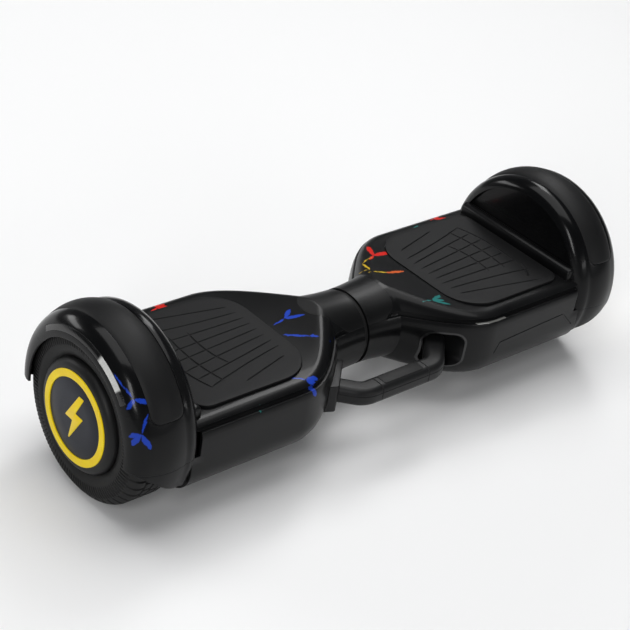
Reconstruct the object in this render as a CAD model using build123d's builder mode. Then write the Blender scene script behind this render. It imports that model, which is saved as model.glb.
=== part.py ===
from build123d import *
import os
from math import cos, degrees, hypot, pi, radians, sin

os.makedirs("parts", exist_ok=True)

# Two-wheeled self balancing board with a carrying handle, in millimetres.
# X runs along the axle, -Y is the handle side, +Z is up, and the origin is on the floor
# below the middle of the axle line.  Each half of the board is the other one turned
# half a turn about Z, apart from the handle's two seats and the electrics.

# ------------------------------------------------------------------ driving dimensions
wheel_radius = 81.0          # tyre, a 6.5 inch hub wheel
tyre_width = 49.8
hub_face_x = 300.0           # outer face of each wheel, from the middle of the board
tyre_outer_x = hub_face_x - 6.0
tyre_inner_x = tyre_outer_x - tyre_width
lip_x = 299.0                # outer lip of the fender
fender_radius = 94.0         # crown of the fender's bumper strip
fender_gap = 3.5             # tyre tread to the inside of the fender
fender_reach = 94.0          # degrees each way from the top
cheek_reach = 113.0          # the lower shell's cheeks carry the fender on to here

neck_radius = 36.0           # round neck at the middle of the board
neck_centre_z = 78.0
half_gap = 2.5               # from the middle to each half's end face
root_x = 40.0                # the neck starts to flare here
flare_length = 80.0
flare_steps = 8              # flats along the flare
body_half_width = 88.0
body_bottom_z = 30.0         # ground clearance
deck_z = 105.0
hull_end_x = 241.0
wall = 3.0
seam_z = 94.0                # upper and lower shells meet here
belt_height = 4.0            # shadow groove above the seam
belt_depth = 2.5

pad_inner_x = 93.0
pad_outer_x = 223.0
pad_half_width = 70.0
pad_inner_corner = 38.0
pad_outer_corner = 14.0
pad_top_z = 107.7
pad_travel = 0.8
pad_edge_gap = 0.4

frame_plate_z = 101.5        # top of the aluminium frame's plate
frame_plate_thickness = 4.0
axle_radius = 7.5
axle_inner_x = 190.0
axle_outer_x = 290.0
axle_bore = 3.0              # radius of the hollow end that the motor's leads leave by
running_gap = 0.05           # radial, on turning fits
part_gap = 0.3               # between curved pieces that only lie beside each other

tube_radius = 15.0           # pivot tube between the halves
tube_bore = 11.0
tube_half_length = 88.0
tilt_limit = 7.0             # degrees each way between the halves

handle_width = 20.0
handle_height = 18.0
handle_y = handle_width / 2 - (fender_radius - 1)      # the grip lies flush with the fenders
handle_z = 68.0
grip_half_length = 29.0
arm_bend_radius = 18.0

screw_radius = 2.0
axle_z = wheel_radius        # the tyre stands on the floor


# ------------------------------------------------------------------ helpers
def save(builder, name):
    builder.part.label = name
    export_step(builder.part, f"parts/{name}.step")


def save_pair(builder, name):
    """The piece as it stands on the right half, and turned half a turn for the left."""
    save(builder, f"{name}_right")
    with BuildPart() as turned:
        add(builder.part, rotation=(0, 0, 180))
    save(turned, f"{name}_left")


def flare(x):
    """0 on the neck, 1 where the body has its full width."""
    if x <= root_x:
        return 0.0
    if x >= root_x + flare_length:
        return 1.0
    return sin(pi / 2 * (x - root_x) / flare_length)


def hull_size(x):
    """Half width, bottom and top heights, and bottom and top corner radii at x."""
    share = flare(x)
    collar_rise = 3.0 * (1 - cos(pi / 2 * min(x, root_x) / root_x))
    start = neck_radius + collar_rise
    half_width = start + (body_half_width - start) * share
    bottom = (neck_centre_z - start) * (1 - share) + body_bottom_z * share
    top = (neck_centre_z + start) * (1 - share) + deck_z * share
    low_corner = 0.94 * start * (1 - share) + 30.0 * share
    high_corner = 0.94 * start * (1 - share) + 14.0 * share
    return half_width, bottom, top, low_corner, high_corner


def hull_outline(x, inset):
    """The hull's outline at x, moved inwards by inset."""
    half_width, bottom, top, low_corner, high_corner = hull_size(x)
    w = half_width - inset
    b = bottom + inset
    t = top - inset
    lc = low_corner - inset
    hc = high_corner - inset
    with BuildSketch() as outline:
        with BuildLine():
            Line((-w + lc, b), (w - lc, b))
            RadiusArc((w - lc, b), (w, b + lc), -lc)
            Line((w, b + lc), (w, t - hc))
            RadiusArc((w, t - hc), (w - hc, t), -hc)
            Line((w - hc, t), (-w + hc, t))
            RadiusArc((-w + hc, t), (-w, t - hc), -hc)
            Line((-w, t - hc), (-w, b + lc))
            RadiusArc((-w, b + lc), (-w + lc, b), -lc)
        make_face()
    return outline.sketch


def make_hull(start_x, end_x, inset):
    """The outer body of the right half, grown or shrunk all round by inset."""
    stations = [root_x * share for share in (0.4, 0.8, 1.0)]
    stations += [root_x + flare_length * share / flare_steps for share in range(1, flare_steps + 1)]
    inside = [x for x in stations if start_x + 2 < x < end_x - 2]
    with BuildPart() as hull:
        for x in [start_x] + inside + [end_x]:
            with BuildSketch(Plane.YZ.offset(x)):
                add(hull_outline(x, inset))
        loft(ruled=True)
    return hull.part


def pad_outline(grow):
    """The foot pad's plan outline, grown by grow."""
    inner_corner = pad_inner_corner + grow
    outer_corner = pad_outer_corner + grow
    x0 = pad_inner_x - grow
    x1 = pad_outer_x + grow
    w = pad_half_width + grow
    with BuildSketch() as outline:
        with BuildLine():
            Line((x0 + inner_corner, -w), (x1 - outer_corner, -w))
            RadiusArc((x1 - outer_corner, -w), (x1, -w + outer_corner), -outer_corner)
            Line((x1, -w + outer_corner), (x1, w - outer_corner))
            RadiusArc((x1, w - outer_corner), (x1 - outer_corner, w), -outer_corner)
            Line((x1 - outer_corner, w), (x0 + inner_corner, w))
            RadiusArc((x0 + inner_corner, w), (x0, w - inner_corner), -inner_corner)
            Line((x0, w - inner_corner), (x0, -w + inner_corner))
            RadiusArc((x0, -w + inner_corner), (x0 + inner_corner, -w), -inner_corner)
        make_face()
    return outline.sketch


def axle_plane(angle):
    """A plane through the axle; its local y points away from it, angle degrees off the top
    towards the handle side, so a sketch on it is drawn as (x, radius)."""
    turn = radians(angle)
    return Plane(origin=(0, 0, axle_z), x_dir=(1, 0, 0), z_dir=(0, -cos(turn), -sin(turn)))


def ring(outer, inner, x0, x1, centre_z):
    """A plain ring about a line along X at height centre_z."""
    with BuildPart() as piece:
        with BuildSketch(Plane.YZ.offset(x0)):
            with Locations((0, centre_z)):
                Circle(outer)
                if inner > 0:
                    Circle(inner, mode=Mode.SUBTRACT)
        extrude(amount=x1 - x0)
    return piece.part


def block(x0, x1, y0, y1, z0, z1):
    """A plain box between two corners."""
    with BuildPart() as piece:
        with BuildSketch(Plane.XY.offset(z0)):
            with Locations(((x0 + x1) / 2, (y0 + y1) / 2)):
                Rectangle(x1 - x0, y1 - y0)
        extrude(amount=z1 - z0)
    return piece.part


axle_line = Axis((0, 0, axle_z), (1, 0, 0))
reach = 400.0                 # longer than the board is wide, for cutting blocks


# ------------------------------------------------------------------ hull solids
outer_hull = make_hull(half_gap, hull_end_x, 0.0)
inner_hull = make_hull(half_gap - 1, hull_end_x - wall, wall)
belt_hull = make_hull(half_gap - 1, hull_end_x - 1, belt_depth)
belt_inner = make_hull(half_gap - 1, hull_end_x - wall - 1, wall + belt_depth)
clear_hull = make_hull(half_gap - 2, hull_end_x, -part_gap)
column_limit = make_hull(half_gap, hull_end_x, wall / 2)

# ------------------------------------------------------------------ fender band
rim_x = 233.5                 # bright rim round the recessed inner wall
rim_radius = 79.5
strip_x0 = 249.5
strip_x1 = 282.7
seam_radius = 90.1
well_radius = wheel_radius + fender_gap
lip_radius = 70.0
lip_thickness = 2.5
fender_foot_z = 75.0          # the upper shell's part of the fender stops here

with BuildPart() as fender_band:
    with BuildSketch(axle_plane(-cheek_reach)):
        with BuildLine():
            ThreePointArc((rim_x, rim_radius), (237.5, 86.6), (strip_x0, seam_radius))
            ThreePointArc((strip_x0, seam_radius), (266.1, fender_radius - 1), (strip_x1, seam_radius))
            ThreePointArc((strip_x1, seam_radius), (293.5, 84.0), (lip_x, lip_radius))
            Line((lip_x, lip_radius), (lip_x - lip_thickness, lip_radius))
            ThreePointArc((lip_x - lip_thickness, lip_radius), (292.5, 79.5), (283.0, well_radius))
            Line((283.0, well_radius), (hull_end_x, well_radius))
            Line((hull_end_x, well_radius), (hull_end_x, rim_radius))
            Line((hull_end_x, rim_radius), (rim_x, rim_radius))
        make_face()
    revolve(axis=axle_line, revolution_arc=2 * cheek_reach)

# what the cheeks lose towards the wheel's outer face, so their lower edge sweeps up
with BuildPart() as cheek_cut:
    with BuildSketch(Plane.XZ.offset(-reach / 2)):
        with BuildLine():
            Polyline((rim_x - 1, 0), (rim_x - 1, 42), (246, 46), (lip_x + 1, fender_foot_z + 1),
                     (lip_x + 1, 0), (rim_x - 1, 0))
        make_face()
    extrude(amount=reach)


def strip_solid(grow, under):
    """The bumper strip let into the fender's crown, or the pocket it lies in."""
    half_sweep = 65.0 + degrees(grow / fender_radius)
    x0 = strip_x0 + 0.25 - grow
    x1 = strip_x1 - 0.25 + grow
    middle = (x0 + x1) / 2
    side = seam_radius + 0.3 + grow * 4
    with BuildPart() as strip:
        with BuildSketch(axle_plane(-half_sweep)):
            with BuildLine():
                Polyline((x0, side), (x0, under), (x1, under), (x1, side))
                ThreePointArc((x1, side), (middle, fender_radius + grow * 4), (x0, side))
            make_face()
        revolve(axis=axle_line, revolution_arc=2 * half_sweep)
        corners = strip.edges().filter_by(lambda edge: abs(edge.length - (side - under)) < 0.01)
        fillet(corners, radius=8.0)
    return strip.part


strip_bed = 88.6
bumper = strip_solid(0.0, strip_bed)
bumper_pocket = strip_solid(0.25, strip_bed - 0.1)


lamp_radius = 78.0            # the wheel lamp's lens, in the fender's outer shoulder
lamp_width = 5.0
lamp_depth = 13.0
lamp_sweep_back = 50.0        # degrees from the top
lamp_sweep_front = 42.0


def lamp_sector(grow):
    """The slot in the fender's outer shoulder that the wheel lamp's lens fills."""
    back = lamp_sweep_back + degrees(grow / lamp_radius)
    front = lamp_sweep_front + degrees(grow / lamp_radius)
    x0 = lip_x - lamp_depth - grow
    x1 = lip_x + 3.0
    low = lamp_radius - lamp_width / 2 - grow
    high = lamp_radius + lamp_width / 2 + grow
    with BuildPart() as sector:
        with BuildSketch(axle_plane(-back)):
            with BuildLine():
                Polyline((x0, low), (x1, low), (x1, high), (x0, high), (x0, low))
            make_face()
        revolve(axis=axle_line, revolution_arc=back + front)
    return sector.part


# ------------------------------------------------------------------ collars
collar_x = 36.0
collar_corner_y = 28.0

with BuildPart() as collar_zone_right:
    with BuildSketch(Plane.XY.offset(seam_z)) as collar_plan:
        with BuildLine():
            Polyline((0, -neck_radius - 4), (half_gap, -neck_radius - 4), (collar_x, -collar_corner_y),
                     (collar_x, collar_corner_y), (half_gap, neck_radius + 4), (0, neck_radius + 4),
                     (0, -neck_radius - 4))
        make_face()
        fillet(collar_plan.vertices().group_by(Axis.X)[-1], radius=7)
    extrude(amount=40)

with BuildPart() as collar_zone_left:
    with BuildSketch(Plane.XY.offset(seam_z)):
        with BuildLine():
            Spline((-half_gap, -neck_radius - 2), (-28, -30), (-49, -14), (-54, 0), (-49, 14), (-28, 30),
                   (-half_gap, neck_radius + 2))
            Polyline((-half_gap, neck_radius + 2), (0, neck_radius + 2), (0, -neck_radius - 2),
                     (-half_gap, -neck_radius - 2))
        make_face()
    extrude(amount=40)

with BuildPart() as hull_left:
    add(outer_hull, rotation=(0, 0, 180))
with BuildPart() as hull_left_inner:
    add(inner_hull, rotation=(0, 0, 180))


def collar(zone, hull, inner):
    with BuildPart() as piece:
        add(hull)
        add(inner, mode=Mode.SUBTRACT)
        add(zone, mode=Mode.INTERSECT)
    return piece


collar_right = collar(collar_zone_right.part, outer_hull, inner_hull)
save(collar_right, "collar_right")
collar_left = collar(collar_zone_left.part, hull_left.part, hull_left_inner.part)
save(collar_left, "collar_left")

# ------------------------------------------------------------------ upper shell, common blank
belt_top = seam_z + belt_height
belt_lap = 1.4                # the belt's wall runs on this far behind the deck's edge
rim_width = 4.0               # flange round the foot pad's opening, resting on the frame
ridge_top = 116.0
ridge_x0 = 226.5
ridge_half_width = 75.0
inner_wall_x = hull_end_x - wall

with BuildPart() as deck_skin:
    add(outer_hull)
    add(inner_hull, mode=Mode.SUBTRACT)
    add(block(0, reach, -reach, reach, belt_top, 200), mode=Mode.INTERSECT)

with BuildPart() as belt_skin:
    add(belt_hull)
    add(belt_inner, mode=Mode.SUBTRACT)
    add(block(0, reach, -reach, reach, seam_z, belt_top + belt_lap), mode=Mode.INTERSECT)

with BuildPart() as inner_wheel_wall:
    with BuildSketch(Plane.YZ.offset(inner_wall_x)):
        with Locations((0, axle_z)):
            Circle(well_radius)
    extrude(amount=wall)
    add(block(0, reach, -reach, reach, seam_z, 200), mode=Mode.INTERSECT)

with BuildPart() as ridge:
    with BuildSketch(Plane.XZ.offset(-ridge_half_width)):
        with BuildLine():
            Line((ridge_x0, deck_z - 2.5), (ridge_x0, ridge_top - 5))
            ThreePointArc((ridge_x0, ridge_top - 5), (ridge_x0 + 4, ridge_top), (inner_wall_x, ridge_top - 2))
            Polyline((inner_wall_x, ridge_top - 2), (inner_wall_x, deck_z - 2.5), (ridge_x0, deck_z - 2.5))
        make_face()
    extrude(amount=2 * ridge_half_width)

with BuildPart() as pad_flange:
    with BuildSketch(Plane.XY.offset(frame_plate_z)):
        add(pad_outline(rim_width))
    extrude(amount=deck_z - 1.5 - frame_plate_z)

with BuildPart() as upper_blank:
    add(deck_skin.part)
    add(belt_skin.part)
    add(inner_wheel_wall.part)
    add(ridge.part)
    add(pad_flange.part)
    with BuildPart(mode=Mode.PRIVATE) as band_top:
        add(fender_band.part)
        add(block(rim_x - 1, reach, -reach, reach, fender_foot_z, 200), mode=Mode.INTERSECT)
    add(band_top.part)
    with BuildSketch(Plane.XY.offset(frame_plate_z - 2)):
        add(pad_outline(pad_edge_gap))
    extrude(amount=20, mode=Mode.SUBTRACT)
    add(bumper_pocket, mode=Mode.SUBTRACT)
    add(lamp_sector(0.2), mode=Mode.SUBTRACT)


lamp_x0 = 97.0                # lamp in the belt groove, at the front on the right half
lamp_x1 = 131.0
groove_lamp_z0 = seam_z + 0.1
groove_lamp_z1 = belt_top - 0.1

with BuildPart() as upper_shell_right:
    add(upper_blank.part)
    add(collar_zone_right.part, mode=Mode.SUBTRACT)
save(upper_shell_right, "upper_shell_right")

with BuildPart() as upper_shell_left:
    add(upper_blank.part, rotation=(0, 0, 180))
    add(collar_zone_left.part, mode=Mode.SUBTRACT)
save(upper_shell_left, "upper_shell_left")

with BuildPart() as fender_strip:
    add(bumper)
save_pair(fender_strip, "fender_strip")

with BuildPart() as wheel_lamp_lens:
    add(fender_band.part)
    add(lamp_sector(0.0), mode=Mode.INTERSECT)
save_pair(wheel_lamp_lens, "wheel_lamp_lens")

with BuildPart() as deck_lamp_lens:
    add(make_hull(half_gap, hull_end_x, 0.3))
    add(make_hull(half_gap - 1, hull_end_x + 1, belt_depth - 0.2), mode=Mode.SUBTRACT)
    add(block(lamp_x0, lamp_x1, -reach, 0, groove_lamp_z0, groove_lamp_z1), mode=Mode.INTERSECT)
save_pair(deck_lamp_lens, "deck_lamp_lens")

# ------------------------------------------------------------------ lower shell, common blank
column_radius = 4.5
screw_spots = [(72, 31), (72, -31), (183, 60), (183, -60), (214, 58), (214, -58)]
frame_under_z = frame_plate_z - frame_plate_thickness
head_radius = 3.8
head_height = 2.4
head_depth = 3.2              # the heads lie this far up inside the columns
axle_slot = 12.0
room_radius = fender_radius + 16.0

with BuildPart() as lower_blank:
    add(outer_hull)
    add(inner_hull, mode=Mode.SUBTRACT)
    add(block(0, reach, -reach, reach, 0, seam_z), mode=Mode.INTERSECT)
    with BuildPart(mode=Mode.PRIVATE) as fender_room:
        with BuildSketch(axle_plane(-fender_reach - 4)):
            with BuildLine():
                Polyline((rim_x - part_gap, rim_radius - part_gap), (rim_x - part_gap, room_radius),
                         (lip_x, room_radius), (lip_x, rim_radius - part_gap),
                         (rim_x - part_gap, rim_radius - part_gap))
            make_face()
        revolve(axis=axle_line, revolution_arc=2 * fender_reach + 8)
        add(block(0, reach, -reach, reach, fender_foot_z, 200), mode=Mode.INTERSECT)
    add(fender_room.part, mode=Mode.SUBTRACT)
    with BuildPart(mode=Mode.PRIVATE) as cheeks:
        add(fender_band.part)
        add(block(rim_x - 1, reach, -reach, reach, 0, fender_foot_z), mode=Mode.INTERSECT)
        add(cheek_cut.part, mode=Mode.SUBTRACT)
    add(cheeks.part)
    for x, y in screw_spots:
        with BuildPart(mode=Mode.PRIVATE) as column:
            with BuildSketch(Plane.XY):
                with Locations((x, y)):
                    Circle(column_radius)
            extrude(amount=frame_under_z)
            add(column_limit, mode=Mode.INTERSECT)
        add(column.part)
    for x, y in screw_spots:
        with BuildSketch(Plane.XY):
            with Locations((x, y)):
                Circle(screw_radius + 0.2)
        extrude(amount=reach, mode=Mode.SUBTRACT)
        with BuildSketch(Plane.XY):
            with Locations((x, y)):
                Circle(head_radius + 0.2)
        extrude(amount=body_bottom_z + wall + head_depth + 0.5, mode=Mode.SUBTRACT)
    with BuildSketch(Plane.YZ.offset(inner_wall_x - 1)):
        with Locations((0, axle_z)):
            Circle(axle_slot)
        with Locations((0, axle_z + 10)):
            Rectangle(2 * axle_slot, 20)
    extrude(amount=wall + 2, mode=Mode.SUBTRACT)

# ------------------------------------------------------------------ handle seats
pocket_x0 = 54.0
pocket_x1 = 90.0
pocket_back_y = -40.0
pocket_height = 41.0
pocket_corner = 12.0
pocket_wall = 2.0
pocket_middle_x = (pocket_x0 + pocket_x1) / 2
pocket_width = pocket_x1 - pocket_x0

with BuildPart() as pocket_core:
    with BuildSketch(Plane.XZ.offset(-pocket_back_y)):
        with Locations((pocket_middle_x, handle_z)):
            RectangleRounded(pocket_width, pocket_height, pocket_corner)
    extrude(amount=60)
    add(outer_hull, mode=Mode.INTERSECT)

with BuildPart() as handle_pocket:
    add(pocket_core.part)
    with BuildSketch(Plane.XZ.offset(-pocket_back_y + pocket_wall)):
        with Locations((pocket_middle_x, handle_z)):
            RectangleRounded(pocket_width - 2 * pocket_wall, pocket_height - 2 * pocket_wall,
                             pocket_corner - pocket_wall)
    extrude(amount=60, mode=Mode.SUBTRACT)
save(handle_pocket, "handle_pocket")

# the bracket's joint face runs between these two plan points, square to the handle's arm
bracket_rear = (-37.6, -45.4)
bracket_front = (-68.5, -75.2)
bracket_z0 = handle_z - 16
bracket_z1 = handle_z + 12

with BuildPart() as handle_bracket:
    with BuildSketch(Plane.XY.offset(bracket_z0)):
        with BuildLine():
            Polyline(bracket_rear, bracket_front, (-82.5, -69.0), (-76, -52), (-50, -30), (-43, -38),
                     bracket_rear)
        make_face()
    extrude(amount=bracket_z1 - bracket_z0)
    front_edges = handle_bracket.edges().filter_by(Axis.Z).group_by(Axis.Y)[0]
    fillet(front_edges, radius=5)
    add(clear_hull, rotation=(0, 0, 180), mode=Mode.SUBTRACT)
    bracket_screw_holes = [(-62.0, handle_z - 7), (-62.0, handle_z + 7)]
    with BuildSketch(Plane.XZ.offset(20)):
        with Locations(bracket_screw_holes):
            Circle(screw_radius + 0.02)
    extrude(amount=45, mode=Mode.SUBTRACT)
save(handle_bracket, "handle_bracket")

with BuildPart() as bracket_screws:
    with BuildSketch(Plane.XZ.offset(48)):
        with Locations(bracket_screw_holes):
            Circle(screw_radius)
    extrude(amount=16)
    with BuildSketch(Plane.XZ.offset(45)):
        with Locations(bracket_screw_holes):
            Circle(head_radius)
    extrude(amount=3)
save(bracket_screws, "bracket_screws")

# ------------------------------------------------------------------ electrics' seats in the shells
button_x = 150.0
button_z = 72.0
button_radius = 8.0
button_travel = 1.2
housing_radius = 11.0
housing_back_y = 74.0
side_y = body_half_width      # the shell's side is flat here
port_x = -150.0
port_z = 70.0
port_radius = 9.0
port_bore = 6.5
port_depth = 12.0
flange_radius = 12.5

with BuildPart() as lower_shell_right:
    add(lower_blank.part)
    add(pocket_core.part, mode=Mode.SUBTRACT)
    with BuildSketch(Plane.XZ.offset(-side_y - 5)):
        with Locations((button_x, button_z)):
            Circle(housing_radius)
    extrude(amount=20, mode=Mode.SUBTRACT)
save(lower_shell_right, "lower_shell_right")

with BuildPart() as lower_shell_left:
    add(lower_blank.part, rotation=(0, 0, 180))
    with BuildSketch(Plane.XZ.offset(-side_y - 5)):
        with Locations((port_x, port_z)):
            Circle(port_radius)
    extrude(amount=20, mode=Mode.SUBTRACT)
    with BuildSketch(Plane.XZ.offset(20)):
        with Locations(bracket_screw_holes):
            Circle(screw_radius + 0.2)
    extrude(amount=60, mode=Mode.SUBTRACT)
save(lower_shell_left, "lower_shell_left")

# ------------------------------------------------------------------ frame
boss_x0 = 46.0
boss_x1 = 84.0
boss_radius = 24.0
bush_wall = 2.0
bush_length = 12.0
block_x0 = 196.0
block_x1 = 226.0
block_half_width = 22.0
block_split = 0.3             # each side of the axle's middle
clamp_z0 = 64.0
clamp_screw_radius = 2.5
clamp_head_radius = 4.2
clamp_head_height = 4.0
clamp_spots = [(202, 15), (202, -15), (220, 15), (220, -15)]
blade_x = 181.0
blade_y = 24.0
sensor_z = 90.5               # top of the sensor board
sensor_height = 6.0
blade_reach = 3.0             # the blades end this far above the board
stop_x = 65.0
stop_radius = 2.5
neck_plate_x0 = 58.0
neck_plate_x1 = 110.0
neck_plate_half_width = 36.0
rib_x0 = 112.0                # ribs under the plate's long edges
rib_x1 = 175.0
rib_width = 3.0
rib_bottom_z = 90.0


def frame_half(bore, slotted):
    """Cast aluminium frame: foot plate, neck boss and the upper half of the axle clamp."""
    with BuildPart() as frame:
        with BuildSketch(Plane.XY.offset(frame_under_z)):
            add(pad_outline(rim_width))
            with Locations(((neck_plate_x0 + neck_plate_x1) / 2, 0)):
                RectangleRounded(neck_plate_x1 - neck_plate_x0, 2 * neck_plate_half_width, 12)
        extrude(amount=frame_plate_thickness)
        with BuildSketch(Plane.YZ.offset(boss_x0)):
            with Locations((0, neck_centre_z)):
                Circle(boss_radius)
        extrude(amount=boss_x1 - boss_x0)
        add(block(boss_x0 + 14, boss_x1, -14, 14, neck_centre_z + boss_radius - 8, frame_under_z + 1))
        add(block(block_x0, block_x1, -block_half_width, block_half_width, axle_z + block_split,
                  frame_under_z + 1))
        for side in (-1, 1):
            y = side * (pad_half_width - 2 - rib_width / 2)
            add(block(rib_x0, rib_x1, y - rib_width / 2, y + rib_width / 2, rib_bottom_z,
                      frame_under_z + 1))
        with BuildSketch(Plane.YZ.offset(boss_x0 - 1)):
            with Locations((0, neck_centre_z)):
                Circle(bore)
        extrude(amount=boss_x1 - boss_x0 + 2, mode=Mode.SUBTRACT)
        with BuildSketch(Plane.YZ.offset(block_x0 - 1)):
            with Locations((0, axle_z)):
                Circle(axle_radius + 0.02)
        extrude(amount=block_x1 - block_x0 + 2, mode=Mode.SUBTRACT)
        with BuildSketch(Plane.XY.offset(frame_under_z - 1)):
            with Locations((blade_x, blade_y), (blade_x, -blade_y)):
                Rectangle(6, 20)
        extrude(amount=frame_plate_thickness + 2, mode=Mode.SUBTRACT)
        with BuildSketch(Plane.XY.offset(60)):
            with Locations(clamp_spots):
                Circle(clamp_screw_radius + 0.02)
        extrude(amount=frame_under_z - 60, mode=Mode.SUBTRACT)
        with BuildSketch(Plane.XY.offset(frame_under_z - 1)):
            with Locations(screw_spots):
                Circle(screw_radius + 0.02)
        extrude(amount=frame_plate_thickness, mode=Mode.SUBTRACT)
        if slotted:
            slot = 2 * (boss_radius * sin(radians(tilt_limit)) + stop_radius + 0.5)
            add(block(stop_x - stop_radius - 0.5, stop_x + stop_radius + 0.5, -slot / 2, slot / 2,
                      neck_centre_z - boss_radius - 1, neck_centre_z), mode=Mode.SUBTRACT)
        else:
            with BuildSketch(Plane.XY.offset(neck_centre_z - boss_radius - 1)):
                with Locations((stop_x, 0)):
                    Circle(stop_radius + 0.02)
            extrude(amount=boss_radius, mode=Mode.SUBTRACT)
    return frame


frame_right = frame_half(tube_radius + running_gap + bush_wall + 0.02, True)
save(frame_right, "frame_right")
frame_left_blank = frame_half(tube_radius + 0.02, False)
with BuildPart() as frame_left:
    add(frame_left_blank.part, rotation=(0, 0, 180))
save(frame_left, "frame_left")

with BuildPart() as axle_clamp:
    add(block(block_x0, block_x1, -block_half_width, block_half_width, clamp_z0, axle_z - block_split))
    with BuildSketch(Plane.YZ.offset(block_x0 - 1)):
        with Locations((0, axle_z)):
            Circle(axle_radius + 0.02)
    extrude(amount=block_x1 - block_x0 + 2, mode=Mode.SUBTRACT)
    with BuildSketch(Plane.XY.offset(clamp_z0 - 1)):
        with Locations(clamp_spots):
            Circle(clamp_screw_radius + 0.2)
    extrude(amount=reach, mode=Mode.SUBTRACT)
save_pair(axle_clamp, "axle_clamp")

with BuildPart() as frame_screws:
    head_seat_z = body_bottom_z + wall + head_depth + 0.5
    with BuildSketch(Plane.XY.offset(clamp_z0)):
        with Locations(clamp_spots):
            Circle(clamp_screw_radius)
    extrude(amount=frame_under_z - clamp_z0 - 2)
    with BuildSketch(Plane.XY.offset(clamp_z0 - clamp_head_height)):
        with Locations(clamp_spots):
            Circle(clamp_head_radius)
    extrude(amount=clamp_head_height)
    with BuildSketch(Plane.XY.offset(head_seat_z)):
        with Locations(screw_spots):
            Circle(screw_radius)
    extrude(amount=frame_plate_z - 1.5 - head_seat_z)
    with BuildSketch(Plane.XY.offset(head_seat_z - head_height)):
        with Locations(screw_spots):
            Circle(head_radius)
    extrude(amount=head_height)
save_pair(frame_screws, "frame_screws")

# ------------------------------------------------------------------ foot pad and its switches
pad_bottom_z = frame_plate_z + pad_travel + 0.1

with BuildPart() as footpad:
    with BuildSketch(Plane.XY.offset(pad_bottom_z)):
        add(pad_outline(0))
    extrude(amount=pad_top_z - pad_bottom_z)
    fillet(footpad.faces().sort_by(Axis.Z)[-1].edges(), radius=1.0)
    with BuildSketch(Plane.XY.offset(sensor_z + blade_reach)):
        with Locations((blade_x, blade_y), (blade_x, -blade_y)):
            Rectangle(2, 14)
    extrude(amount=pad_bottom_z + 0.5 - sensor_z - blade_reach)
save_pair(footpad, "footpad")

with BuildPart() as sensor_board:
    sensor_top = sensor_z + sensor_height
    slot_floor = sensor_z + blade_reach - pad_travel - 0.3
    add(block(blade_x - 9, blade_x + 8.5, -44, 44, sensor_z - 1.6, sensor_z))
    for side in (-1, 1):
        with BuildSketch(Plane.XZ.offset(-side * blade_y - 8)):
            with BuildLine():
                Polyline((blade_x - 5, sensor_z - 0.5), (blade_x - 5, sensor_top), (blade_x - 1.6, sensor_top),
                         (blade_x - 1.6, slot_floor), (blade_x + 1.6, slot_floor), (blade_x + 1.6, sensor_top),
                         (blade_x + 5, sensor_top), (blade_x + 5, sensor_z - 0.5), (blade_x - 5, sensor_z - 0.5))
            make_face()
        extrude(amount=16)
    with BuildSketch(Plane.XY.offset(sensor_z - 0.5)):
        with Locations((blade_x, 40), (blade_x, -40), (blade_x, 0)):
            Circle(3)
    extrude(amount=frame_under_z - sensor_z + 0.5)
save_pair(sensor_board, "sensor_board")

# ------------------------------------------------------------------ wheel
tyre_bore = 52.0
rim_inner_x = 247.0
rim_outer_x = 289.0
rim_wall = 5.0
bearing_outer = 14.0
bearing_width = 9.0
bearing_seat = 18.0
seat_gap = 0.03
stator_x0 = 261.0
stator_x1 = 279.0
stator_radius = 42.0
magnet_inner = 42.8
ring_outer = 43.35
ring_inner = 36.3
badge_thickness = 0.8
cover_face_x = hub_face_x - badge_thickness
disc_x = hub_face_x - 6.0     # back of the cover's disc
axle_room_x = hub_face_x - 9.0
outer_bearing_x = 281.0
axle_hollow_x = 255.0         # the leads' bore in the axle ends here
stator_hub_radius = 30.0

# heights on the tyre's section, from its side walls to its tread
tread_z = axle_z + wheel_radius
shoulder_z = tread_z - 3.0
bulge_z = tread_z - 12.0
wall_z = tread_z - 24.0
tread_x0 = tyre_inner_x + 11.8
tread_x1 = tyre_outer_x - 13.0

with BuildPart() as tyre:
    with BuildSketch(Plane.XZ):
        with BuildLine():
            Line((rim_inner_x + 1, axle_z + tyre_bore + 0.05), (rim_outer_x + 2, axle_z + tyre_bore + 0.05))
            Line((rim_outer_x + 2, axle_z + tyre_bore + 0.05), (tyre_outer_x, wall_z))
            ThreePointArc((tyre_outer_x, wall_z), (tyre_outer_x - 0.8, bulge_z),
                          (tyre_outer_x - 5.5, shoulder_z))
            ThreePointArc((tyre_outer_x - 5.5, shoulder_z), (tyre_outer_x - 8.5, tread_z - 0.8),
                          (tread_x1, tread_z))
            Line((tread_x1, tread_z), (tread_x0, tread_z))
            ThreePointArc((tread_x0, tread_z), (tyre_inner_x + 7.3, tread_z - 0.8),
                          (tyre_inner_x + 4.3, shoulder_z))
            ThreePointArc((tyre_inner_x + 4.3, shoulder_z), (tyre_inner_x + 0.4, bulge_z),
                          (tyre_inner_x, wall_z))
            Line((tyre_inner_x, wall_z), (rim_inner_x + 1, axle_z + tyre_bore + 0.05))
        make_face()
    revolve(axis=axle_line)
save_pair(tyre, "tyre")

with BuildPart() as motor_rim:
    add(ring(tyre_bore, tyre_bore - rim_wall, rim_inner_x, rim_outer_x, axle_z))
    add(ring(tyre_bore - 1, bearing_outer + seat_gap, rim_inner_x, rim_inner_x + 3, axle_z))
    add(ring(bearing_seat, bearing_outer + seat_gap, rim_inner_x, rim_inner_x + 3 + bearing_width, axle_z))
    add(ring(tyre_bore - rim_wall - 0.05, magnet_inner, stator_x0, stator_x1, axle_z))
save_pair(motor_rim, "motor_rim")

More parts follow.
